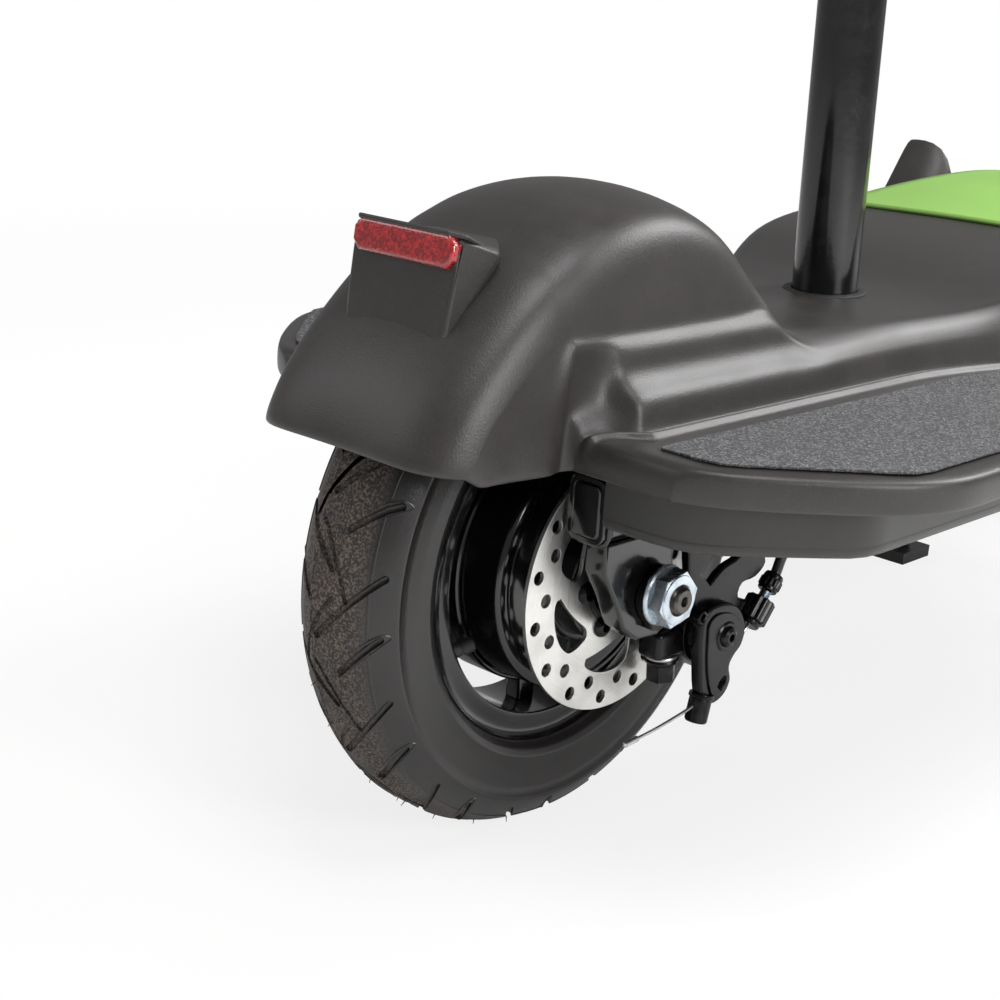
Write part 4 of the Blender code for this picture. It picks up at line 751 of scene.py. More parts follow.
for y, top, wall_x, wing in ((572, 140, 110, 105), (602, 144, 97, 150)):
    shoulder_at, wall_at = (wall_x * 0.72, top - 5), (wall_x, top - 10)
    ledge_at, tunnel_at = (wall_x + 10, top - 16), (wall_x + 18, top - 30)
    row = rib(y, top, shoulder_at, wall_at, ledge_at, tunnel_at, 136, WING_TOP + 4, WING_HALF)
    kick = [(x if x > 160 else 150, row_y, z + wing - WING_TOP - 4) for x, row_y, z in row[16:]]
    deck_ribs.append(row[:16] + kick)
cowl_ribs = []
for y, top, half, foot in ((640, 160, 68, 85), (675, 185, 48, 105), (705, 210, 36, 130)):
    halfway = (top + 50 - foot) / 2
    drops = ((0, 0), (0.45, 3), (0.80, 14), (0.95, 30), (1, 50), (1, halfway), (1, top - foot))
    cowl_ribs.append([(half * share, y, top - drop) for share, drop in drops])
print("deck ribs:", len(deck_ribs), "cowl ribs:", len(cowl_ribs))

# %% Bridge the ribs into the shell
shell_bm = bmesh.new()
ribs = []
for row in [*tail_ribs, *deck_ribs, *cowl_ribs]:
    points = [shell_bm.verts.new(at(*place)) for place in row]
    ribs.append([shell_bm.edges.new(pair) for pair in zip(points, points[1:])])
for near, far in zip(ribs, ribs[1:]):
    shared = min(len(near), len(far))
    bmesh.ops.bridge_loops(shell_bm, edges=near[:shared] + far[:shared])
right_half = shell_bm.verts[:] + shell_bm.edges[:] + shell_bm.faces[:]
bmesh.ops.mirror(shell_bm, geom=right_half, merge_dist=SEAM, axis="X")
bmesh.ops.remove_doubles(shell_bm, verts=shell_bm.verts, dist=SEAM)
bmesh.ops.recalc_face_normals(shell_bm, faces=shell_bm.faces)
highest = max(shell_bm.faces, key=lambda face: face.calc_center_median().z)
if highest.normal.z < 0:
    bmesh.ops.reverse_faces(shell_bm, faces=shell_bm.faces)
shell_skin = mesh_object("shell_skin", shell_bm)
modify(shell_skin, "wall", "SOLIDIFY", thickness=3 * MM, offset=-1, use_even_offset=True)
modify(shell_skin, "flow", "SUBSURF", levels=2, render_levels=2)
print("skin of", len(shell_skin.data.polygons), "faces before its wall")

# %% [markdown]
# The seat tube comes up through a round hole in the tunnel. A boolean cuts it once the skin is
# smooth, so that the hole's edge stays a true circle under the rubber ring that hides it.

# %% Hole for the seat tube
LEAN = math.tan(math.radians(2.2))
TUBE_FOOT_Y, TUBE_FOOT_Z = 215.8, 86


def on_tube(z):
    """A point on the seat tube's leaning centre line at a height above the axle."""
    return at(0, TUBE_FOOT_Y - LEAN * (z - TUBE_FOOT_Z), z)


def cut_by(target, tool_bm):
    """Takes a closed bmesh out of an object with a boolean, and returns the result as a bmesh."""
    bmesh.ops.recalc_face_normals(tool_bm, faces=tool_bm.faces)
    tool = mesh_object("tool", tool_bm)
    how = {"operation": "DIFFERENCE", "solver": "EXACT", "use_self": True}
    modify(target, "cut", "BOOLEAN", object=tool, **how)
    result = evaluated(target)
    bpy.data.objects.remove(tool, do_unlink=True)
    return result


shell_bm = cut_by(shell_skin, rod(18.5, on_tube(60), on_tube(140), 64))
hand_over("shell_moulding", shell_bm, abs_shell, "frame", 50, "body_shell", even=False)

# %% [markdown]
# The reflector sits on a wedge that stands out of the dome's tail and narrows towards its foot. Such
# a form is convex, so the hull round a few measured corners makes it, with well-rounded edges. A
# second, sharper hull is the brow over the lens, a long lozenge of acrylic with chamfered ends.

# %% Reflector housing and lens
def hull(points, rounding):
    """The rounded convex form round points that are mirrored from right to left."""
    bm = bmesh.new()
    for x, y, z in points:
        bm.verts.new(at(x, y, z))
        bm.verts.new(at(-x, y, z))
    made = bmesh.ops.convex_hull(bm, input=bm.verts)
    bmesh.ops.delete(bm, geom=made["geom_interior"], context="VERTS")
    bmesh.ops.dissolve_limit(bm, angle_limit=math.radians(2), verts=bm.verts, edges=bm.edges)
    round_edges(bm, bm.edges, rounding)
    return bm


body_points = [
    (30.5, -89.6, 151), (29, -90.6, 121), (29, -94.5, 111), (26, -98, 101), (31, -68, 144),
    (27, -66, 146.5), (20, -78, 106), (14, -50, 136), (14, -52, 147),
]
brow_points = [
    (25.5, -93, 152.4), (25.5, -92.8, 154.4), (30.4, -87, 151.4), (30.4, -86.8, 153.2), (29, -69, 145),
    (28, -69, 143),
]
housing_bm = merged(hull(body_points, 2.2), hull(brow_points, 0.7))
hand_over("reflector_housing", housing_bm, abs_shell, "frame", 45)
lens_turn = Matrix.Rotation(math.radians(-7.6), 4, "X")
lens_line = [
    (-28.5, -3), (-24.6, -6.8), (25, -6.8), (28.5, -3), (28.5, 3), (25, 6.8), (-24.6, 6.8), (-28.5, 3),
]
lens_bm = flat_plate([lens_line], 6.8, 1.8, at(0.8, -90.4, 146), lens_turn @ FACE_ON)
hand_over("reflector_lens", lens_bm, reflector_red, "frame", 32, "rear_reflector")

# %% [markdown]
# The tyre's outline is turned about the axle: a rounded crown, a shoulder edge, a hollow flank with
# a thin ring, and beads that sit in the rim. Its tread is cut as a moulder cuts it, groove by
# groove. Each groove is a short round bar laid along the tread, and a boolean takes them all away.

# %% Tyre outline
tyre_half = [
    (127.4, 0), (127.2, 5.6), (127, 6.6), (127.3, 6.9), (127.3, 7.4), (126.9, 7.7), (125.6, 12),
    (123.2, 16.6), (120.9, 19.6), (121.1, 20), (120.7, 20.5), (120.2, 20.5), (117, 23.4), (113.2, 25.9),
    (111, 27.1), (110.2, 27.4), (109.3, 27.2), (108.6, 26.5), (104, 25.9), (98, 25.4), (92.5, 25.3),
    (91.4, 25.7), (90.3, 25.7), (89.4, 25), (88.2, 24.8), (87.2, 24), (86.2, 21.9), (85.2, 20.7),
]
bead_half = [
    (84.7, 20.3), (84.6, 17.2), (78.7, 17.2), (78.7, 12.8), (86.0, 13.7), (100.5, 22.0), (115.5, 16.0),
]


def on_tread(centre, turn, x, lift):
    """A point on the tread: degrees about the axle from straight ahead, and sideways millimetres."""
    radius = read_line([(x0, r0) for r0, x0 in tyre_half], abs(x)) + lift
    a = math.radians(turn)
    return centre + Vector((x, radius * math.cos(a), radius * math.sin(a))) * MM


right_side = tyre_half + bead_half
left_side = [(r, -x) for r, x in reversed(right_side[1:])]
tyre_profile = [*left_side, *right_side, (120.0, 0.0)]
print("tyre outline has", len(tyre_profile), "points")

# %% Tread grooves
PITCHES = 13
tread_pitch = 360 / PITCHES
FIRST_PITCH = 157.1
halves = ((1, 0), (-1, 0.5))
starts = [(side, FIRST_PITCH + (k + late) * tread_pitch) for k in range(PITCHES) for side, late in halves]
short_slot = [(23.6, 0.0), (19.0, 2.2), (13.5, 4.9), (8.0, 7.6)]
long_slot = [(23.8, 14.8), (18.0, 18.2), (11.0, 21.9), (3.0, 25.9), (-4.0, 29.1)]
arc_slot = [(-5.5, 6.6), (-1.0, 9.0), (4.0, 12.6), (8.5, 16.6), (11.6, 20.6)]


def groove(centre, start, side, route, lift):
    """One groove's centre line over the tread, thin at both ends so that they come out round."""
    marks = through([(x, turn, 0) for x, turn in route], 4)
    line = [on_tread(centre, start + m.y, side * m.x, lift) for m in marks]
    first, last = ((a - b).normalized() * 0.9 * MM for a, b in (line[:2], line[:-3:-1]))
    ends = ((1.2, 0.35), (0.6, 0.8))
    before = [(line[0] + first * out, share) for out, share in ends]
    after = [(line[-1] + last * out, share) for out, share in reversed(ends)]
    return [*before, *((p, 1.0) for p in line), *after]


def tread_lines(centre, routes, lift):
    """The same grooves for every pitch on both halves, the left half half a pitch behind."""
    return [groove(centre, start, side, route, lift) for side, start in starts for route in routes]


print("grooves on a tyre:", 3 * len(starts))

# %% Raised lips and rubber hairs
HAIRS = 78


def slot_lips(centre):
    """A thin raised lip round each short slot."""
    lines = []
    (x0, t0), (x1, t1) = short_slot[0], short_slot[-1]
    for side, start in starts:
        ring = []
        for step in range(24):
            a = 2 * math.pi * step / 24
            share = 0.5 - 0.5 * math.copysign(min(1.0, abs(math.cos(a)) * 1.35), math.cos(a))
            out, along = 2.5 * math.sin(a), 2.6 * math.cos(a)
            x = x0 + (x1 - x0) * share + out * 0.75 + along * 0.7
            turn = t0 + (t1 - t0) * share + (out * 0.62 - along * 0.62) / 2.1
            ring.append((on_tread(centre, start + turn, side * x, -0.1), 1.0))
        lines.append(ring)
    return evaluated(tube_curve(lines, 0.42, 1, closed=True))


def rubber_hairs(centre):
    """The vent hairs that a tyre keeps from its mould: thin cones around the crown."""
    bm = bmesh.new()
    for k in range(HAIRS):
        x = (-9.0, 3.0, 14.0)[k % 3]
        turn = 360 * k / HAIRS + 1.7 * (k % 5)
        foot = on_tread(centre, turn, x, -0.3)
        out = (foot - centre - Vector((x, 0, 0)) * MM).normalized()
        lean = Vector((0.25 * math.sin(k * 2.4), 0.2 * math.cos(k * 1.7), 0.2 * math.sin(k * 0.9)))
        direction = (out + lean).normalized()
        height = (2.2 + 1.4 * ((k * 7) % 5) / 5) * MM
        place = Matrix.Translation(foot + direction * height / 2) @ facing(direction)
        wide, thin = 0.32 * MM, 0.12 * MM
        sizes = {"radius1": wide, "radius2": thin, "depth": height}
        bmesh.ops.create_cone(bm, cap_ends=True, segments=5, matrix=place, **sizes)
    return bm


# %% Make the tyres
def make_tyre(name, centre, material, body, node):
    """A tyre with its grooves cut, its lips raised and its hairs set."""
    outline_bm = spun(tyre_profile, centre, 208)
    bmesh.ops.recalc_face_normals(outline_bm, faces=outline_bm.faces)
    blank = mesh_object(name, outline_bm)
    slots = evaluated(tube_curve(tread_lines(centre, (short_slot, long_slot), -0.5), 1.75, 3))
    arcs = evaluated(tube_curve(tread_lines(centre, (arc_slot,), -0.3), 1.2, 3))
    whole = merged(cut_by(blank, merged(slots, arcs)), slot_lips(centre), rubber_hairs(centre))
    hand_over(name, whole, material, body, 42, node, even=False)


make_tyre("tyre_rear", REAR_AXLE, rear_rubber, "rear_wheel", "rear_tyre")
make_tyre("tyre_front", FRONT_AXLE, front_rubber, "front_wheel", "front_tyre")

# %% [markdown]
# The rim is a pressed and welded steel hoop: rolled flanges outside, a well for mounting the tyre
# inside, and a flat inner barrel. Six short flat spokes weld it to the sleeve that grips the motor.
# The hoop is turned from its section, and the spokes are rounded bars set around the axle.

# %% Rims
HOOP_BORE = 72.6
flange_half = [
    (72, 17.6), (72.6, 18.6), (74.5, 18.9), (77.5, 18.2), (80, 18), (82, 18.6), (83.2, 19.8), (83.9, 20.4),
    (84.4, 19.9), (84.3, 18.6), (83.4, 17.4), (78.4, 17.3), (78.4, 12), (75.2, 10.2),
]


def make_rim(name, centre, body, node, sleeve, spoke_inner, half, phase, wide):
    """A hoop, a sleeve round the hub and the six spokes between them."""
    hoop = spun([*[(r, -x) for r, x in reversed(flange_half)], *flange_half], centre, 128)
    inner, outer_r = sleeve
    collar_line = [(inner, 0.6 - half), (inner + 0.6, -half), (outer_r - 0.8, -half), (outer_r, 0.8 - half)]
    collar_line += [(r, -x) for r, x in reversed(collar_line)]
    collar = spun(collar_line, centre)
    spokes = []
    length = HOOP_BORE - spoke_inner
    for k in range(6):
        turn = Matrix.Rotation(2 * math.pi * (k + phase) / 6, 4, "X")
        middle = turn @ (Vector((0, 0, spoke_inner + length / 2)) * MM)
        spokes.append(rounded_box((wide, 11, length), centre + middle, 1.6, 3, turn))
    hand_over(name, merged(hoop, collar, *spokes), gloss_enamel, body, 40, node)


make_rim("rim_rear", REAR_AXLE, "rear_wheel", "rear_rim", (57.3, 59.5), 58.6, 10, 0.967, 9)
make_rim("rim_front", FRONT_AXLE, "front_wheel", "front_rim", (6.4, 22.8), 22.0, 32.5, 0.5, 16)

# %% [markdown]
# The motor is a die-cast drum with rounded edges and a stepped boss on each side. The boss on the
# right carries the brake disc: a stainless ring, laser-cut with two rows of round holes and six
# curved windows, and held by six button-head bolts with hexagon sockets.

# %% Motor drum
drum_line = [
    (6.4, 48.4), (28.6, 48.4), (29, 48), (29, 37.5), (30.5, 35.2), (33, 34.4), (40, 34), (40.4, 33.2),
    (42, 33.2), (42.4, 33.9), (48, 33.4), (50.4, 32.6), (50.8, 31.6), (52.2, 31.5), (52.8, 32.3),
    (54.6, 31.9), (56.2, 30.9), (57, 29.2), (57, -29.2), (55.6, -31.2), (52, -32.2), (46, -33.2),
    (31, -35.6), (29, -36), (6.4, -36),
]
drum_bm = spun(drum_line, REAR_AXLE, 128)
hand_over("motor_casing", drum_bm, gloss_enamel, "rear_wheel", 40, "motor_drum")

# %% Brake disc
DISC_X = 49.8


def curved_window(start):
    """One window of the disc: a curved teardrop between the bolt circle and the drilled band."""
    knots = [
        (38, 1.5), (34.5, 10), (31.6, 19), (29.3, 28.5), (27.6, 38), (27.6, 46), (30.2, 50.6), (33.6, 49),
        (37.6, 46.3), (41.2, 42), (42.7, 34), (42.9, 26), (42.7, 18), (42.1, 9), (40.8, 3),
    ]
    turns = [(r, start + math.radians(a)) for r, a in knots]
    return smooth_loop([(r * math.cos(a), r * math.sin(a)) for r, a in turns])


disc_loops = [ring_of(60, 144), ring_of(17, 48)]
for ring, offset in ((54.4, 0.0), (47.6, 0.5)):
    holes = ring_of(ring, 15, start=2 * math.pi * offset / 15)
    disc_loops += [ring_of(3.05, 20, y, z) for y, z in holes]
disc_loops += [curved_window(2 * math.pi * k / 6) for k in range(6)]
disc_bm = side_plate(disc_loops, 2.0, 0.15, DISC_X)
hand_over("brake_disc", disc_bm, disc_steel, "rear_wheel", 12, "brake_rotor")


# %% Disc bolts
def button_head(centre, radius, height, socket):
    """A domed bolt head with a hexagon socket sunk in it."""
    dome = [(radius, 0), (radius, 0.25 * height), (0.88 * radius, 0.7 * height), (0.62 * radius, height)]
    hollow = [(socket, height), (socket * 0.98, 0.25 * height), (0, 0.2 * height)]
    return spun([*dome, *hollow], centre, 24)


bolt_places = ring_of(22.1, 6, start=math.radians(5.1))
heads = [button_head(at(DISC_X + 1, y, z), 4.9, 2.7, 2.1) for y, z in bolt_places]
hand_over("disc_bolts", merged(*heads), black_bolt, "rear_wheel", 35)

# %% [markdown]
# The frame is welded steel under black enamel: two box-section rails with rounded corners, and a
# thick laser-cut plate under each that holds the axle. Hidden frame parts keep their CAD shape;
# a copy of the CAD mesh gets the small rounded edges that every sawn and painted edge really has.

# %% Softened copies of CAD pieces
def softened(name, node, material, body, rounding, segments=2):
    """A copy of a CAD node's mesh with its hard edges rounded."""
    bm = bmesh.new()
    bm.from_mesh(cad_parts[node].data)
    bmesh.ops.transform(bm, matrix=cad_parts[node].matrix_world, verts=bm.verts)
    bmesh.ops.remove_doubles(bm, verts=bm.verts, dist=SEAM)
    bmesh.ops.dissolve_limit(bm, angle_limit=math.radians(1), verts=bm.verts, edges=bm.edges)
    keen = [e for e in bm.edges if len(e.link_faces) == 2 and e.calc_face_angle() > math.radians(28)]
    round_edges(bm, keen, rounding, segments)
    hand_over(name, bm, material, body, 40, node)


def lozenge(width, height, radius, steps=6):
    """A rounded rectangle round the origin, as a loop of points."""
    loop = []
    for cx, cy, first in ((1, 1, 0), (-1, 1, 90), (-1, -1, 180), (1, -1, 270)):
        for k in range(steps + 1):
            a = math.radians(first + 90 * k / steps)
            x, y = cx * (width / 2 - radius), cy * (height / 2 - radius)
            loop.append((x + radius * math.cos(a), y + radius * math.sin(a)))
    return loop


def front_plate(loops, thickness, rounding, x, y, z):
    """A plate square to Y, its outline in (x, z) about a point in millimetres."""
    return flat_plate(loops, thickness, rounding, at(x, y, z), FACE_ON)


SIDES = ((1, "right"), (-1, "left"))
RAIL_X, RAIL_Z = 62.2, 41.75
weld_line = [(*place, 1.0 + 0.18 * math.sin(9 * k)) for k, place in enumerate(lozenge(21, 29.4, 6, 4))]
for side, name in SIDES:
    x = side * RAIL_X
    rail_bm = front_plate([lozenge(20, 28.5, 5.5), lozenge(14.4, 22.9, 3)], 655, 0.5, x, 287.5, RAIL_Z)
    plug_bm = front_plate([lozenge(15.2, 23.6, 3.4)], 4, 1.2, x, -38.6, RAIL_Z)
    weld = [(at(x + across, -36.6, RAIL_Z + rise), share) for across, rise, share in weld_line]
    whole = merged(rail_bm, plug_bm, evaluated(tube_curve([weld], 1.2, 2, closed=True)))
    hand_over(f"frame_rail_{name}", whole, gloss_enamel, "frame", 40, f"rail_{name}")
for name in ("cross_tube_rear", "cross_tube_front", "neck_tube", "head_tube"):
    softened(f"frame_{name}", name, gloss_enamel, "frame", 1.0)

# %% [markdown]
# The axle plates are 12 mm steel with cut, painted edges. Each nut is zinc-plated with a blue
# passivation: a flange, a hexagon with chamfered corners, and a crown round the thread. The axle is
# oiled steel with a centre hole from turning. Its thread is a stack of rings, since its pitch is
# too fine to be seen turning.

# %% Axle plates, nuts and washers
plate_line = [
    (-34, 27.2), (-34, 14), (-24, -2), (-18, -14), (-8, -21), (6, -22), (15, -16), (16, 0), (12, 14),
    (12, 27.2),
]
flange_line = [(6.3, 0), (13.6, 0), (13.8, 0.5), (13.6, 1.3), (12.8, 2.0), (6.3, 2.4)]
crown_line = [(6.3, 2.2), (11.2, 2.2), (11.2, 8.6), (10.8, 9.3), (9.0, 9.6), (7.2, 9.6), (6.3, 8.8)]
axle_hole = ring_of(6.2, 32)
for side, name in SIDES:
    plate_bm = side_plate([plate_line, axle_hole], 12, 1.6, side * 64)
    hand_over(f"axle_plate_{name}", plate_bm, gloss_enamel, "frame", 40, f"dropout_{name}")
    softened(f"anti_turn_washer_{name}", f"torque_washer_{name}", black_bolt, "frame", 0.3)
    nut_x = min(abs(corner.x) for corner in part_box(f"axle_nut_{name}")) / MM
    rings = [spun(line, at(side * nut_x, 0, 0), 48, (side, 0, 0)) for line in (flange_line, crown_line)]
    hexagon = ring_of(13.0, 6, start=math.radians(12))
    nut_bm = merged(*rings, side_plate([hexagon, axle_hole], 7.0, 0.5, side * (nut_x + 5.4)))
    hand_over(f"flange_nut_{name}", nut_bm, zinc_plate, "frame", 30, f"axle_nut_{name}")

end_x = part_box("rear_axle")[1].x / MM
thread_line = []
for k in range(22):
    along = end_x - 1.2 - 0.75 * k
    thread_line += [(6.0, along), (5.45, along - 0.37)]
end_steps = ((0, 2.6), (1.4, 2.4), (2.3, 0.1), (2.6, 0), (5.0, 0), (5.8, 0.8))
right_end = [(r, end_x - back) for r, back in end_steps]
stator_line = [(6.0, 60), (6.0, 18), (49, 18), (50, 17), (50, -17), (49, -18), (6.0, -18)]
left_end = [(r, -x) for r, x in reversed([*right_end, *thread_line])]
axle_line = [*right_end, *thread_line, *stator_line, *left_end]
axle_bm = spun(axle_line, REAR_AXLE, 64)
hand_over("axle_and_stator", axle_bm, axle_steel, "frame", 30, "rear_axle")

# %% [markdown]
# The brake is a small mechanical caliper, built up like the real one: a turned body on the pivot's
# axis, a bridge over the disc's edge, an inner jaw, a curved two-armed bracket, and a hooked arm
# with a raised rim. Its wire comes down from a fluted barrel adjuster to a pinch bolt at the arm's foot.

# %% Caliper body and bracket
PIVOT_Y, PIVOT_Z, ARM_X = 42.5, -27.5, 77.0
body_line = [
    (0, 55.4), (12, 55.4), (13.2, 56), (13.6, 57.5), (13.6, 59.4), (16, 60.4), (16.5, 61.4), (16.5, 68),
    (15.8, 69.2), (14.4, 69.6), (13.6, 70.4), (13.2, 73.4), (9.4, 73.8), (8.6, 74), (0, 74),
]
turned_bm = spun(body_line, at(0, PIVOT_Y, PIVOT_Z), 72)
tilt = Matrix.Rotation(math.atan2(PIVOT_Z, PIVOT_Y), 4, "X")
away = Vector((0, PIVOT_Y, PIVOT_Z)).normalized()
bridge_bm = rounded_box((32, 16, 30), at(51.5, 0, 0) + away * 70 * MM, 3.2, 4, tilt)
jaw_bm = rounded_box((7, 34, 26), at(41.8, 0, 0) + away * 56.6 * MM, 2.4, 3, tilt)
rib_mid = at(51.5, 0, 0) + away * 70.2 * MM
rib_places = [rib_mid + tilt @ Vector((0, 0, z)) * MM for z in (-9, -3, 3, 9)]
cooling = [rounded_box((26, 17.2, 2.2), place, 1.0, 2, tilt) for place in rib_places]
caliper = merged(turned_bm, bridge_bm, jaw_bm, *cooling)
hand_over("caliper_casting", caliper, black_anodised, "frame", 35, "caliper_body")

arms_line = smooth_loop([
    (15, 25.5), (18, 5), (25, -12), (30, -27), (42.5, -41.5), (52, -37), (60, -31), (70, -30), (74, -25),
    (67, -18), (58, -14), (60, -8), (70, -7), (77, -1), (71, 8), (58, 14), (50, 25.5),
], closed=False)
opening = smooth_loop([(35, -3), (44, 3), (55, 6), (50, 12), (38, 11), (28, 3)], closed=False)
arms_bm = side_plate([arms_line, opening], 4.6, 1.4, 72.6)
pin_line = [(1.9, 79.4), (1.9, 72), (3.3, 72), (3.3, 79.0), (2.9, 79.6), (2.2, 79.8)]
pin_bm = spun(pin_line, at(0, 25.5, -15.5), 32)
lug_bm = rounded_box((13, 24, 13), at(62.5, 22, -30), 2.4, 3)
arms_bm = merged(arms_bm, lug_bm)
hand_over("caliper_arms", arms_bm, black_anodised, "frame", 35, "caliper_bracket")
hand_over("setting_screw", pin_bm, black_bolt, "frame", 30)

down = Vector((0, 0.10, -1)).normalized()
bolt_top = at(61.5, 21.5, -36.6)
washer_bm = spun([(3.2, 0), (7.2, 0), (7.4, 0.4), (7.2, 1.5), (3.2, 1.5)], bolt_top, 48, down)
hand_over("bolt_washer", washer_bm, bare_aluminium, "frame", 30)
collar_line = [(0, 1.5), (7.6, 1.5), (8.0, 2.1), (7.7, 3.4), (6.4, 4.6), (0, 4.6)]
collar_bm = spun(collar_line, bolt_top, 48, down)
head_bm = flat_plate([ring_of(6.9, 6)], 8.4, 0.7, bolt_top + down * 8.4 * MM, facing(down))
hand_over("mounting_bolt", merged(collar_bm, head_bm), black_bolt, "frame", 30)

# %% Brake arm
arm_line = [
    (-17.5, 2), (-17, 10), (-11.5, 15.5), (-3.5, 16), (6.5, 13.2), (13.5, 7), (16.5, -0.5), (14.5, -8),
    (9.8, -12), (7, -16.5), (8.8, -23.5), (5.5, -29.5), (-1.5, -32.5), (-9.5, -30.5), (-13.5, -23.5),
    (-16.2, -9.5),
]
panel_line = [
    (-13.3, 2.7), (-13.2, 8.2), (-8.7, 11.8), (-2, 11.6), (4.6, 9.4), (9.8, 4.8), (12.2, -0.7), (10.8, -6),
    (6.4, -9.8), (3.2, -14.6), (5.2, -20.6), (3.6, -25.6), (-0.8, -28.4), (-6, -27.4), (-9.8, -19.1),
    (-12.2, -9),
]
slot_line = [(0.2, -26.5), (-2.6, -24.0), (-1.2, -21.6), (1.6, -19.4), (3.8, -20.6), (3.4, -23.6)]
arm_loop, slot_loop, panel_loop = (
    [(PIVOT_Y + y, PIVOT_Z + z) for y, z in loop]
    for loop in (smooth_loop(arm_line, 4), slot_line, smooth_loop(panel_line, 4))
)
arm_bm = side_plate([arm_loop, slot_loop], 6.0, 1.5, ARM_X)
panel_bm = side_plate([panel_loop, slot_loop], 1.6, 0.5, ARM_X + 3.2)
boss_line = [(0, 2.0), (6.8, 2.0), (7.2, 3.0), (7.0, 4.2), (6.2, 4.8), (0, 4.8)]
boss_bm = spun(boss_line, at(ARM_X, PIVOT_Y, PIVOT_Z), 48)
arm_whole = merged(arm_bm, panel_bm, boss_bm)
hand_over("brake_arm_plate", arm_whole, black_anodised, "brake_arm", 35, "brake_arm")
pivot_bm = button_head(at(ARM_X + 4.6, PIVOT_Y, PIVOT_Z), 5.0, 2.6, 1.9)
foot, tip = at(ARM_X, 34.0, -54.0), at(ARM_X, 31.0, -67.2)
pinch_line = [(0, 0), (5.6, 0), (5.8, 0.6), (5.8, 2.0), (5.0, 2.4), (5.2, 3.0), (5.2, 12.6), (4.7, 13.4)]
pinch_bm = spun([*pinch_line, (2.6, 13.4), (2.4, 10.0), (0, 9.6)], foot, 40, tip - foot)
hand_over("arm_screws", merged(pivot_bm, pinch_bm), black_bolt, "brake_arm", 30)

# %% Barrel adjuster and inner wire
along = Vector((0, 10, 12)).normalized()
stop = at(76.8, 82, -8)


def fluted(radius, low, high, lobes, depth):
    """A barrel with flutes, from low to high millimetres along the adjuster's axis."""
    loop = []
    for k in range(lobes * 8):
        a = 2 * math.pi * k / (lobes * 8)
        r = radius - depth * (0.5 - 0.5 * math.cos(lobes * a)) ** 2
        loop.append((r * math.cos(a), r * math.sin(a)))
    middle = stop + along * (low + high) / 2 * MM
    return flat_plate([loop], high - low, 0.7, middle, facing(along))


sleeve_line = [(0, -27), (4.6, -27), (5.0, -26), (5.0, -24), (0, -24)]
ferrule_line = [(0, -8.4), (4.2, -8.4), (4.7, -7.8), (4.7, -1.0), (4.2, 0.2), (3.1, 0.6), (0, 0.6)]
adjuster = merged(
    spun(sleeve_line, stop, 40, along),
    fluted(7.0, -24.4, -13.0, 10, 0.7),
    spun(ferrule_line, stop, 40, along),
    fluted(5.3, -6.8, -2.2, 12, 0.5),
)
hand_over("barrel_adjuster", adjuster, black_anodised, "frame", 35)
screw_line = [(0, -13.4)]
for k in range(8):
    screw_line += [(2.6, -13.2 + 0.62 * k), (2.2, -12.9 + 0.62 * k)]
screw_bm = spun([*screw_line, (0, -8.2)], stop, 24, along)
hand_over("adjuster_thread", screw_bm, zinc_plate, "frame", 30)
wire_marks = ((76.8, 64.8, -28.6), (77, 48, -44), (76.8, 34, -57), (77, 8, -62), (76.6, -17, -64.5))
wire_bm = even_tube(through([at(*mark) for mark in wire_marks]), 0.75, 3)
crimp_bm = rod(1.25, at(76.7, -10, -63.8), at(76.6, -19, -64.7), 20, 0.4)
hand_over("brake_wire", merged(wire_bm, crimp_bm), bare_aluminium, "brake_arm", 40)

# %% Brake pads and the cable
for name, body in (("fixed", "frame"), ("moving", "brake_pad")):
    softened(f"brake_pad_block_{name}", f"brake_pad_{name}", pad_compound, body, 0.4)
cable_marks = (
    (76.8, 82, -8), (76.8, 92, 4), (76, 132, 8), (56, 170, 16.5), (38, 230, 18.5), (38, 400, 18.5),
    (38, 632, 18.5), (40, 668, 45), (44, 700, 100), (40, 715, 150),
)
cable_path = through([at(*mark) for mark in cable_marks], 8)
cable = tube_curve([[(p, 1.0) for p in cable_path]], 2.5, 5)
cable.name = "brake_cable_housing"
cable.data.materials.append(cable_jacket)
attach(cable, "frame")
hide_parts("rear_brake_cable")

# %% [markdown]
# Under each foot wing hangs a moulded tray: a floor with a rolled edge and a thin wall that goes up
# inside the skirt. The tapes are die-cut sheets with rounded corners, stuck on the wings. The green
# cover is a thin moulding: five rows of points across the deck, subdivided to make its crown flow.

# %% Trays, tapes and the green cover
def lying_plate(loops, low, high, rounding, side):
    """A plate square to Z between two heights, its outline in (x, y) on one side of the scooter."""
    placed = [[(side * x, y) for x, y in loop] for loop in loops]
    return flat_plate(placed, high - low, rounding, at(0, 0, (low + high) / 2))


fronts = ((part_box(node)[1] - REAR_AXLE).y / MM for node in ("side_tray_right", "grip_tape_right"))
tray_front, tape_front = fronts
tray_line = [
    (76, -46), (90, -46), (101, -45.5), (110, -44.5), (118, -41.5), (128, -34), (137, -23.5), (146, -12.5),
    (155, -1.5), (161, 6.5), (164, 14), (165, 24), (165, tray_front), (76, tray_front),
]
wall_line = [(79, -43), (101, -42.5), (116, -39), (126, -31.6), (143, -11), (161, 14), (162, 24)]
wall_line += [(162, tray_front - 3), (79, tray_front - 3)]
tape_line = [
    (97.5, -40), (117, -40), (125, -38), (132, -32.5), (146, -17.5), (172, 10.5), (177.5, 18), (179.5, 27),
    (180, tape_front - 3), (177, tape_front), (155, tape_front), (152, tape_front - 3), (151.6, 400),
    (149, 350), (143.5, 313), (135.5, 282), (125.5, 261), (113, 247), (104.5, 232), (99, 213), (96.4, 196),
    (96, -38),
]
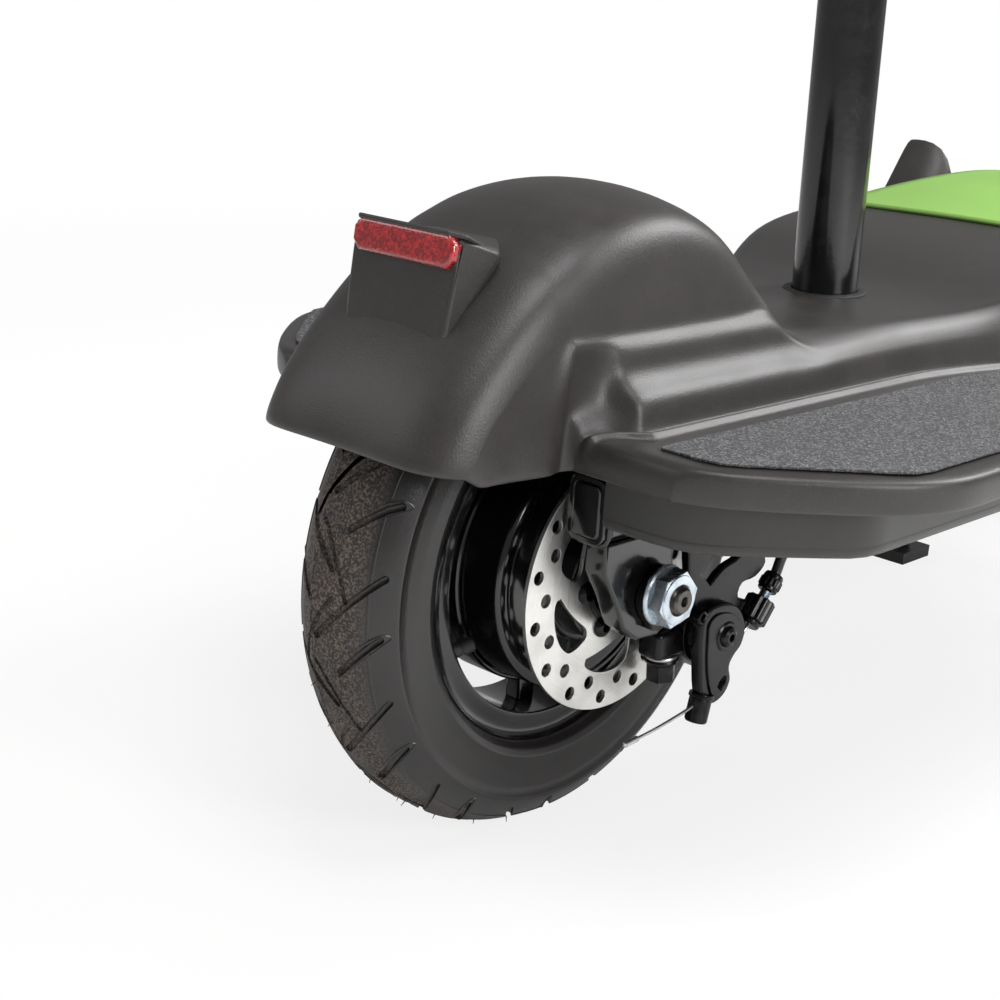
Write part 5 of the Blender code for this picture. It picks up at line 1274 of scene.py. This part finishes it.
for side, name in SIDES:
    floor_bm = lying_plate([tray_line], 38, 46, 3.2, side)
    wall_bm = lying_plate([tray_line, wall_line], 43, 71.7, 0.4, side)
    tray_bm = merged(floor_bm, wall_bm)
    hand_over(f"tray_{name}", tray_bm, tray_plastic, "frame", 50, f"side_tray_{name}")
    tape_bm = lying_plate([tape_line], WING_TOP + 0.2, WING_TOP + 1.3, 0.25, side)
    hand_over(f"tape_{name}", tape_bm, grip_tape, "frame", 35, f"grip_tape_{name}")
cover_bm = bmesh.new()
grid = []
for y, top, shoulder, half, edge in (
    (393, 122.8, 121.1, 120.6, 119.2),
    (412.1, 124.5, 122, 124, 119.5),
    (469.9, 131, 128.5, 124, 125),
    (540, 137, 134, 120, 130),
    (568, 139.7, 135.2, 111, 130.4),
):
    lip = (half * 0.92, edge + 0.71 * (shoulder - edge))
    half_row = [(0, top), (half * 0.36, top - (top - shoulder) * 0.22), (half * 0.72, shoulder), lip]
    both = [(-x, z) for x, z in reversed(half_row[1:])] + half_row
    grid.append([cover_bm.verts.new(at(x, y, z + 0.4)) for x, z in both])
for near, far in zip(grid, grid[1:]):
    for k in range(len(near) - 1):
        cover_bm.faces.new((near[k], near[k + 1], far[k + 1], far[k]))
cover = hand_over(
    "cover_green", cover_bm, green_abs, "frame", 60, "battery_cover", even=False
)
modify(cover, "flow", "SUBSURF", levels=2, render_levels=2)
modify(cover, "sheet", "SOLIDIFY", thickness=2.4 * MM, offset=1)

# %% [markdown]
# The seat tube is a plain steel tube under gloss enamel, and so mostly reflections: it gets 128
# sides, so that no facet shows in them. A soft rubber ring hides the hole where it meets the shell.
# The clamp at its top closes on a slit with a cam lever, and lets the chromed post slide in.

# %% Seat tube, ring, clamp and post
def tube_between(outer_r, inner_r, start, end, sides, rounding=0.5):
    """A round tube with a bore and rounded ends between two points."""
    length = (end - start).length / MM
    r = rounding
    line = [(inner_r, r), (inner_r + r, 0), (outer_r - r, 0), (outer_r, r)]
    line += [(outer_r, length - r), (outer_r - r, length), (inner_r + r, length), (inner_r, length - r)]
    return spun(line, start, sides, end - start)


seat_tube_bm = tube_between(17, 14.5, on_tube(58.6), on_tube(370), 128)
hand_over("seat_tube_painted", seat_tube_bm, gloss_enamel, "frame", 40, "seat_tube")
ring_line = [(17.3, 1.0), (21.4, 1.0), (21.8, 1.4), (21.6, 2.6), (20.8, 3.2), (18.0, 3.4), (17.3, 3.2)]
ring_bm = spun(ring_line, on_tube(98), 96, on_tube(120) - on_tube(98))
hand_over("seat_tube_trim", ring_bm, soft_seal, "frame", 40, "seat_tube_ring")
softened("seat_clamp_collar", "seat_clamp", black_anodised, "frame", 1.0)
softened("seat_clamp_cam", "seat_clamp_lever", black_anodised, "seat_clamp_lever", 1.4, 3)
post_bm = rod(14.2, on_tube(200), on_tube(540), 96, 1.2)
marks = [tube_between(14.26, 13.2, on_tube(z), on_tube(z + 0.6), 64, 0.05) for z in range(400, 531, 10)]
hand_over("seat_post_chromed", post_bm, chrome_post, "seat", 40, "seat_post")
hand_over("post_scale_rings", merged(*marks), black_anodised, "seat", 40)

# %% [markdown]
# The saddle is foam under vinyl, and cloth simulation gives it the swell of a filled cover. A shape a
# little smaller than the real cushion is remeshed into even faces, its underside is pinned where it
# rests on the pan, and air pressure blows it up. A cap on the movement keeps it inside its space.

# %% Saddle cushion
from mathutils.bvhtree import BVHTree

soft_low, soft_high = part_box("saddle_cushion")
soft_mid = (soft_low + soft_high) / 2
size = (soft_high - soft_low) / MM
cushion_bm = rounded_box((size.x - 12, size.y - 12, size.z - 8), soft_mid - Vector((0, 0, 4)) * MM, 17, 5)
for vert in cushion_bm.verts:
    ahead = (vert.co.y - soft_mid.y) / (soft_high.y - soft_mid.y)
    pinch = 1 - 0.10 * max(0.0, ahead + 0.2)
    vert.co.x = soft_mid.x + (vert.co.x - soft_mid.x) * pinch
cushion = mesh_object("cushion", cushion_bm)
modify(cushion, "even", "REMESH", mode="VOXEL", voxel_size=5.5 * MM)
pad = mesh_object("pad", evaluated(cushion))
start_places = [v.co.copy() for v in pad.data.vertices]
pinned = pad.vertex_groups.new(name="rests on the pan")
floor_z = min(p.z for p in start_places) + 6 * MM
pinned.add([k for k, p in enumerate(start_places) if p.z < floor_z], 1.0, "REPLACE")
cloth = modify(pad, "swell", "CLOTH")
cloth.settings.use_pressure = True
cloth.settings.uniform_pressure_force = 4
cloth.settings.effector_weights.gravity = 0
cloth.settings.vertex_group_mass = "rests on the pan"
cloth.point_cache.frame_start = 1
cloth.point_cache.frame_end = 20
for step in range(1, 21):
    bpy.context.scene.frame_set(step)
pad_bm = evaluated(pad)
bpy.context.scene.frame_set(1)
REACH = 5.5 * MM
for vert, start_place in zip(pad_bm.verts, start_places):
    step = vert.co - start_place
    if step.length > REACH:
        vert.co = start_place + step.normalized() * REACH
rise = max(v.co.z for v in pad_bm.verts) - max(p.z for p in start_places)
print("cushion rose", round(rise / MM, 1), "mm")

# %% Piping and stitches
surface = BVHTree.FromBMesh(pad_bm)


def round_the_pad(level, count, out=0.0):
    """Points on the pad's side at a share of its height, from a ring of rays towards its middle."""
    found = []
    z = soft_low.z + (soft_high.z - soft_low.z) * level
    for k in range(count):
        a = 2 * math.pi * k / count
        away = Vector((math.cos(a), math.sin(a), 0))
        far = Vector((soft_mid.x, soft_mid.y, z)) + away * 0.4
        hit = surface.ray_cast(far, -away)
        found.append(hit[0] + away * out * MM)
    return found


piping_bm = even_tube(round_the_pad(0.30, 160), 1.8, 3, closed=True)
row = round_the_pad(0.40, 720, 0.1)
threads = [list(zip(row[k : k + 4], (0.6, 1.0, 1.0, 0.6))) for k in range(0, 716, 5)]
stitch_bm = evaluated(tube_curve(threads, 0.45, 1))
cushion = hand_over("saddle_pad", pad_bm, vinyl, "seat", 60, "saddle_cushion", even=False)
modify(cushion, "finer", "SUBSURF", levels=1, render_levels=1)
hand_over("saddle_piping", piping_bm, vinyl, "seat", 60)
hand_over("saddle_stitches", stitch_bm, thread, "seat", 60)
softened("saddle_base", "saddle_pan", tray_plastic, "seat", 2.0, 3)

# %% [markdown]
# Under the deck are the stand, the pan, the battery and the controller. The front half is not in the
# photograph; it follows the usual build of such scooters: a raked fork and column, a telescoping
# stem with a cam clamp, ribbed grips, and levers. Round tubes are turned finely, the rest softened.

# %% Under the deck
softened("stand_bracket", "kickstand_bracket", powder_coat, "frame", 1.2)
softened("stand_legs", "kickstand_legs", powder_coat, "stand", 1.4, 3)
softened("belly_plate", "belly_pan", tray_plastic, "frame", 0.9)
softened("battery", "battery_pack", pack_wrap, "frame", 3.0, 3)
softened("controller_case", "motor_controller", controller_metal, "frame", 2.0, 3)


# %% Steering tubes and fork
STEER_FOOT_Y, BAR_UP, GRIP_START = 840, 920, 174


def steer(s, x=0.0, ahead=0.0):
    """A point along the steering axis from axle height, to the side, and ahead square to it."""
    back, rise = math.sin(RAKE), math.cos(RAKE)
    return at(x, STEER_FOOT_Y - s * back + ahead * rise, s * rise + ahead * back)


column_bm = tube_between(21.5, 17.7, steer(293), steer(560), 96, 0.8)
hand_over("column_tube_painted", column_bm, gloss_enamel, "fork", 40, "column_tube")
stem_bm = rod(17.2, steer(440), steer(900), 96, 0.8)
hand_over("stem_chromed", stem_bm, chrome_post, "bar", 40, "bar_stem")
head_bm = tube_between(19.0, 11.3, steer(BAR_UP, -24), steer(BAR_UP, 24), 72, 1.6)
socket_bm = tube_between(18.8, 17.3, steer(872), steer(903), 72, 0.8)
hand_over("stem_head", merged(head_bm, socket_bm), black_anodised, "bar", 40)
softened("fork_welded", "fork", gloss_enamel, "fork", 1.4, 3)
softened("fender_front", "front_fender", abs_shell, "fork", 0.5)
softened("front_axle_plated", "front_axle", zinc_plate, "fork", 0.6)
end_nuts = []
washer_line = [(6.3, 0), (11, 0), (11.2, 0.5), (11, 1.6), (6.3, 1.6)]
for side in (1, -1):
    washer_at, nut_at = (FRONT_AXLE + Vector((side * x, 0, 0)) * MM for x in (52.2, 57.6))
    end_nuts.append(spun(washer_line, washer_at, 40, (side, 0, 0)))
    nut_loops = [ring_of(9.8, 6), ring_of(6.3, 24)]
    end_nuts.append(flat_plate(nut_loops, 7.0, 0.6, nut_at, SIDE_ON))
hand_over("front_axle_nuts", merged(*end_nuts), zinc_plate, "fork", 30)
softened("stem_clamp", "bar_clamp", black_anodised, "fork", 1.2)
softened("stem_clamp_cam", "bar_clamp_lever", black_anodised, "bar_clamp_lever", 1.4, 3)

# %% Headlight
lamp_at = steer(400, 0, 38.8)
lamp_turn = Matrix.Rotation(RAKE, 4, "X")
lamp_way = steer(0, 0, 1) - steer(0)
case_bm = rounded_box((49, 32, 49), lamp_at, 9, 5, lamp_turn)
bezel_line = [(19.2, 12), (23.6, 12), (23.8, 17.5), (22.8, 19.0), (20.6, 19.2), (19.4, 18.0)]
case_bm = merged(case_bm, spun(bezel_line, lamp_at, 72, lamp_way))
hand_over("lamp_case", case_bm, tray_plastic, "fork", 40)
glass_line = [(0, 21.4), (6, 21.2), (12, 20.2), (17, 18.4), (19.3, 16.8), (19.3, 15.8), (0, 15.8)]
glass_bm = spun(glass_line, lamp_at, 72, lamp_way)
hand_over("lamp_glass", glass_bm, lamp_lens, "fork", 50, "headlight")

# %% Handlebar, grips and levers
bar_bm = rod(11, steer(BAR_UP, -290), steer(BAR_UP, 290), 72, 0.8)
hand_over("handlebar_painted", bar_bm, gloss_enamel, "bar", 40, "handlebar")
grip_line = [(11.3, 0), (16.2, 0), (16.5, 0.6), (16.5, 3.4), (15.4, 4.2)]
for k in range(20):
    grip_line += [(r, 7 + 5 * k + x) for r, x in ((15, 0), (16.1, 0.9), (16.1, 2.9), (15, 3.8))]
grip_line += [(15.4, 110), (16.4, 111), (16.5, 114), (16.0, 115), (11.3, 115)]
grips = ((-1, "left", "grip_left", "bar"), (1, "right", "throttle_grip", "throttle"))
for side, name, node, body in grips:
    grip_bm = spun(grip_line, steer(BAR_UP, side * GRIP_START), 64, (side, 0, 0))
    hand_over(f"grip_ribbed_{name}", grip_bm, grip_rubber, body, 50, node)
for side in ("left", "right"):
    softened(f"lever_clamp_{side}", f"lever_bracket_{side}", black_anodised, "bar", 1.0)
    blade, lever = f"lever_blade_{side}", f"brake_lever_{side}"
    softened(blade, lever, black_anodised, f"lever_{side}", 1.8, 3)


# %% Valve stems
def valve(name, centre, angle, body):
    """A snap-in valve: a rubber foot in the rim and a cap."""
    radial = Vector((0, math.cos(math.radians(angle)), math.sin(math.radians(angle))))
    foot = centre + (radial * 71.5 + Vector((9, 0, 0))) * MM
    way = Vector((0.55, 0, 0)) - radial * 0.83
    foot_line = [(0, -1), (5.2, -1), (5.2, 0.6), (3.6, 2.2), (3.2, 6.5), (2.7, 8), (0, 8)]
    cap_line = [(0, 7.6), (3.1, 7.6), (3.3, 8.2), (3.3, 12.4), (2.7, 13.4), (0, 13.4)]
    halves = [spun(line, foot, 32, way) for line in (foot_line, cap_line)]
    hand_over(name, merged(*halves), grip_rubber, body, 40)


valve("valve_rear", REAR_AXLE, -152, "rear_wheel")
valve("valve_front", FRONT_AXLE, -90, "front_wheel")
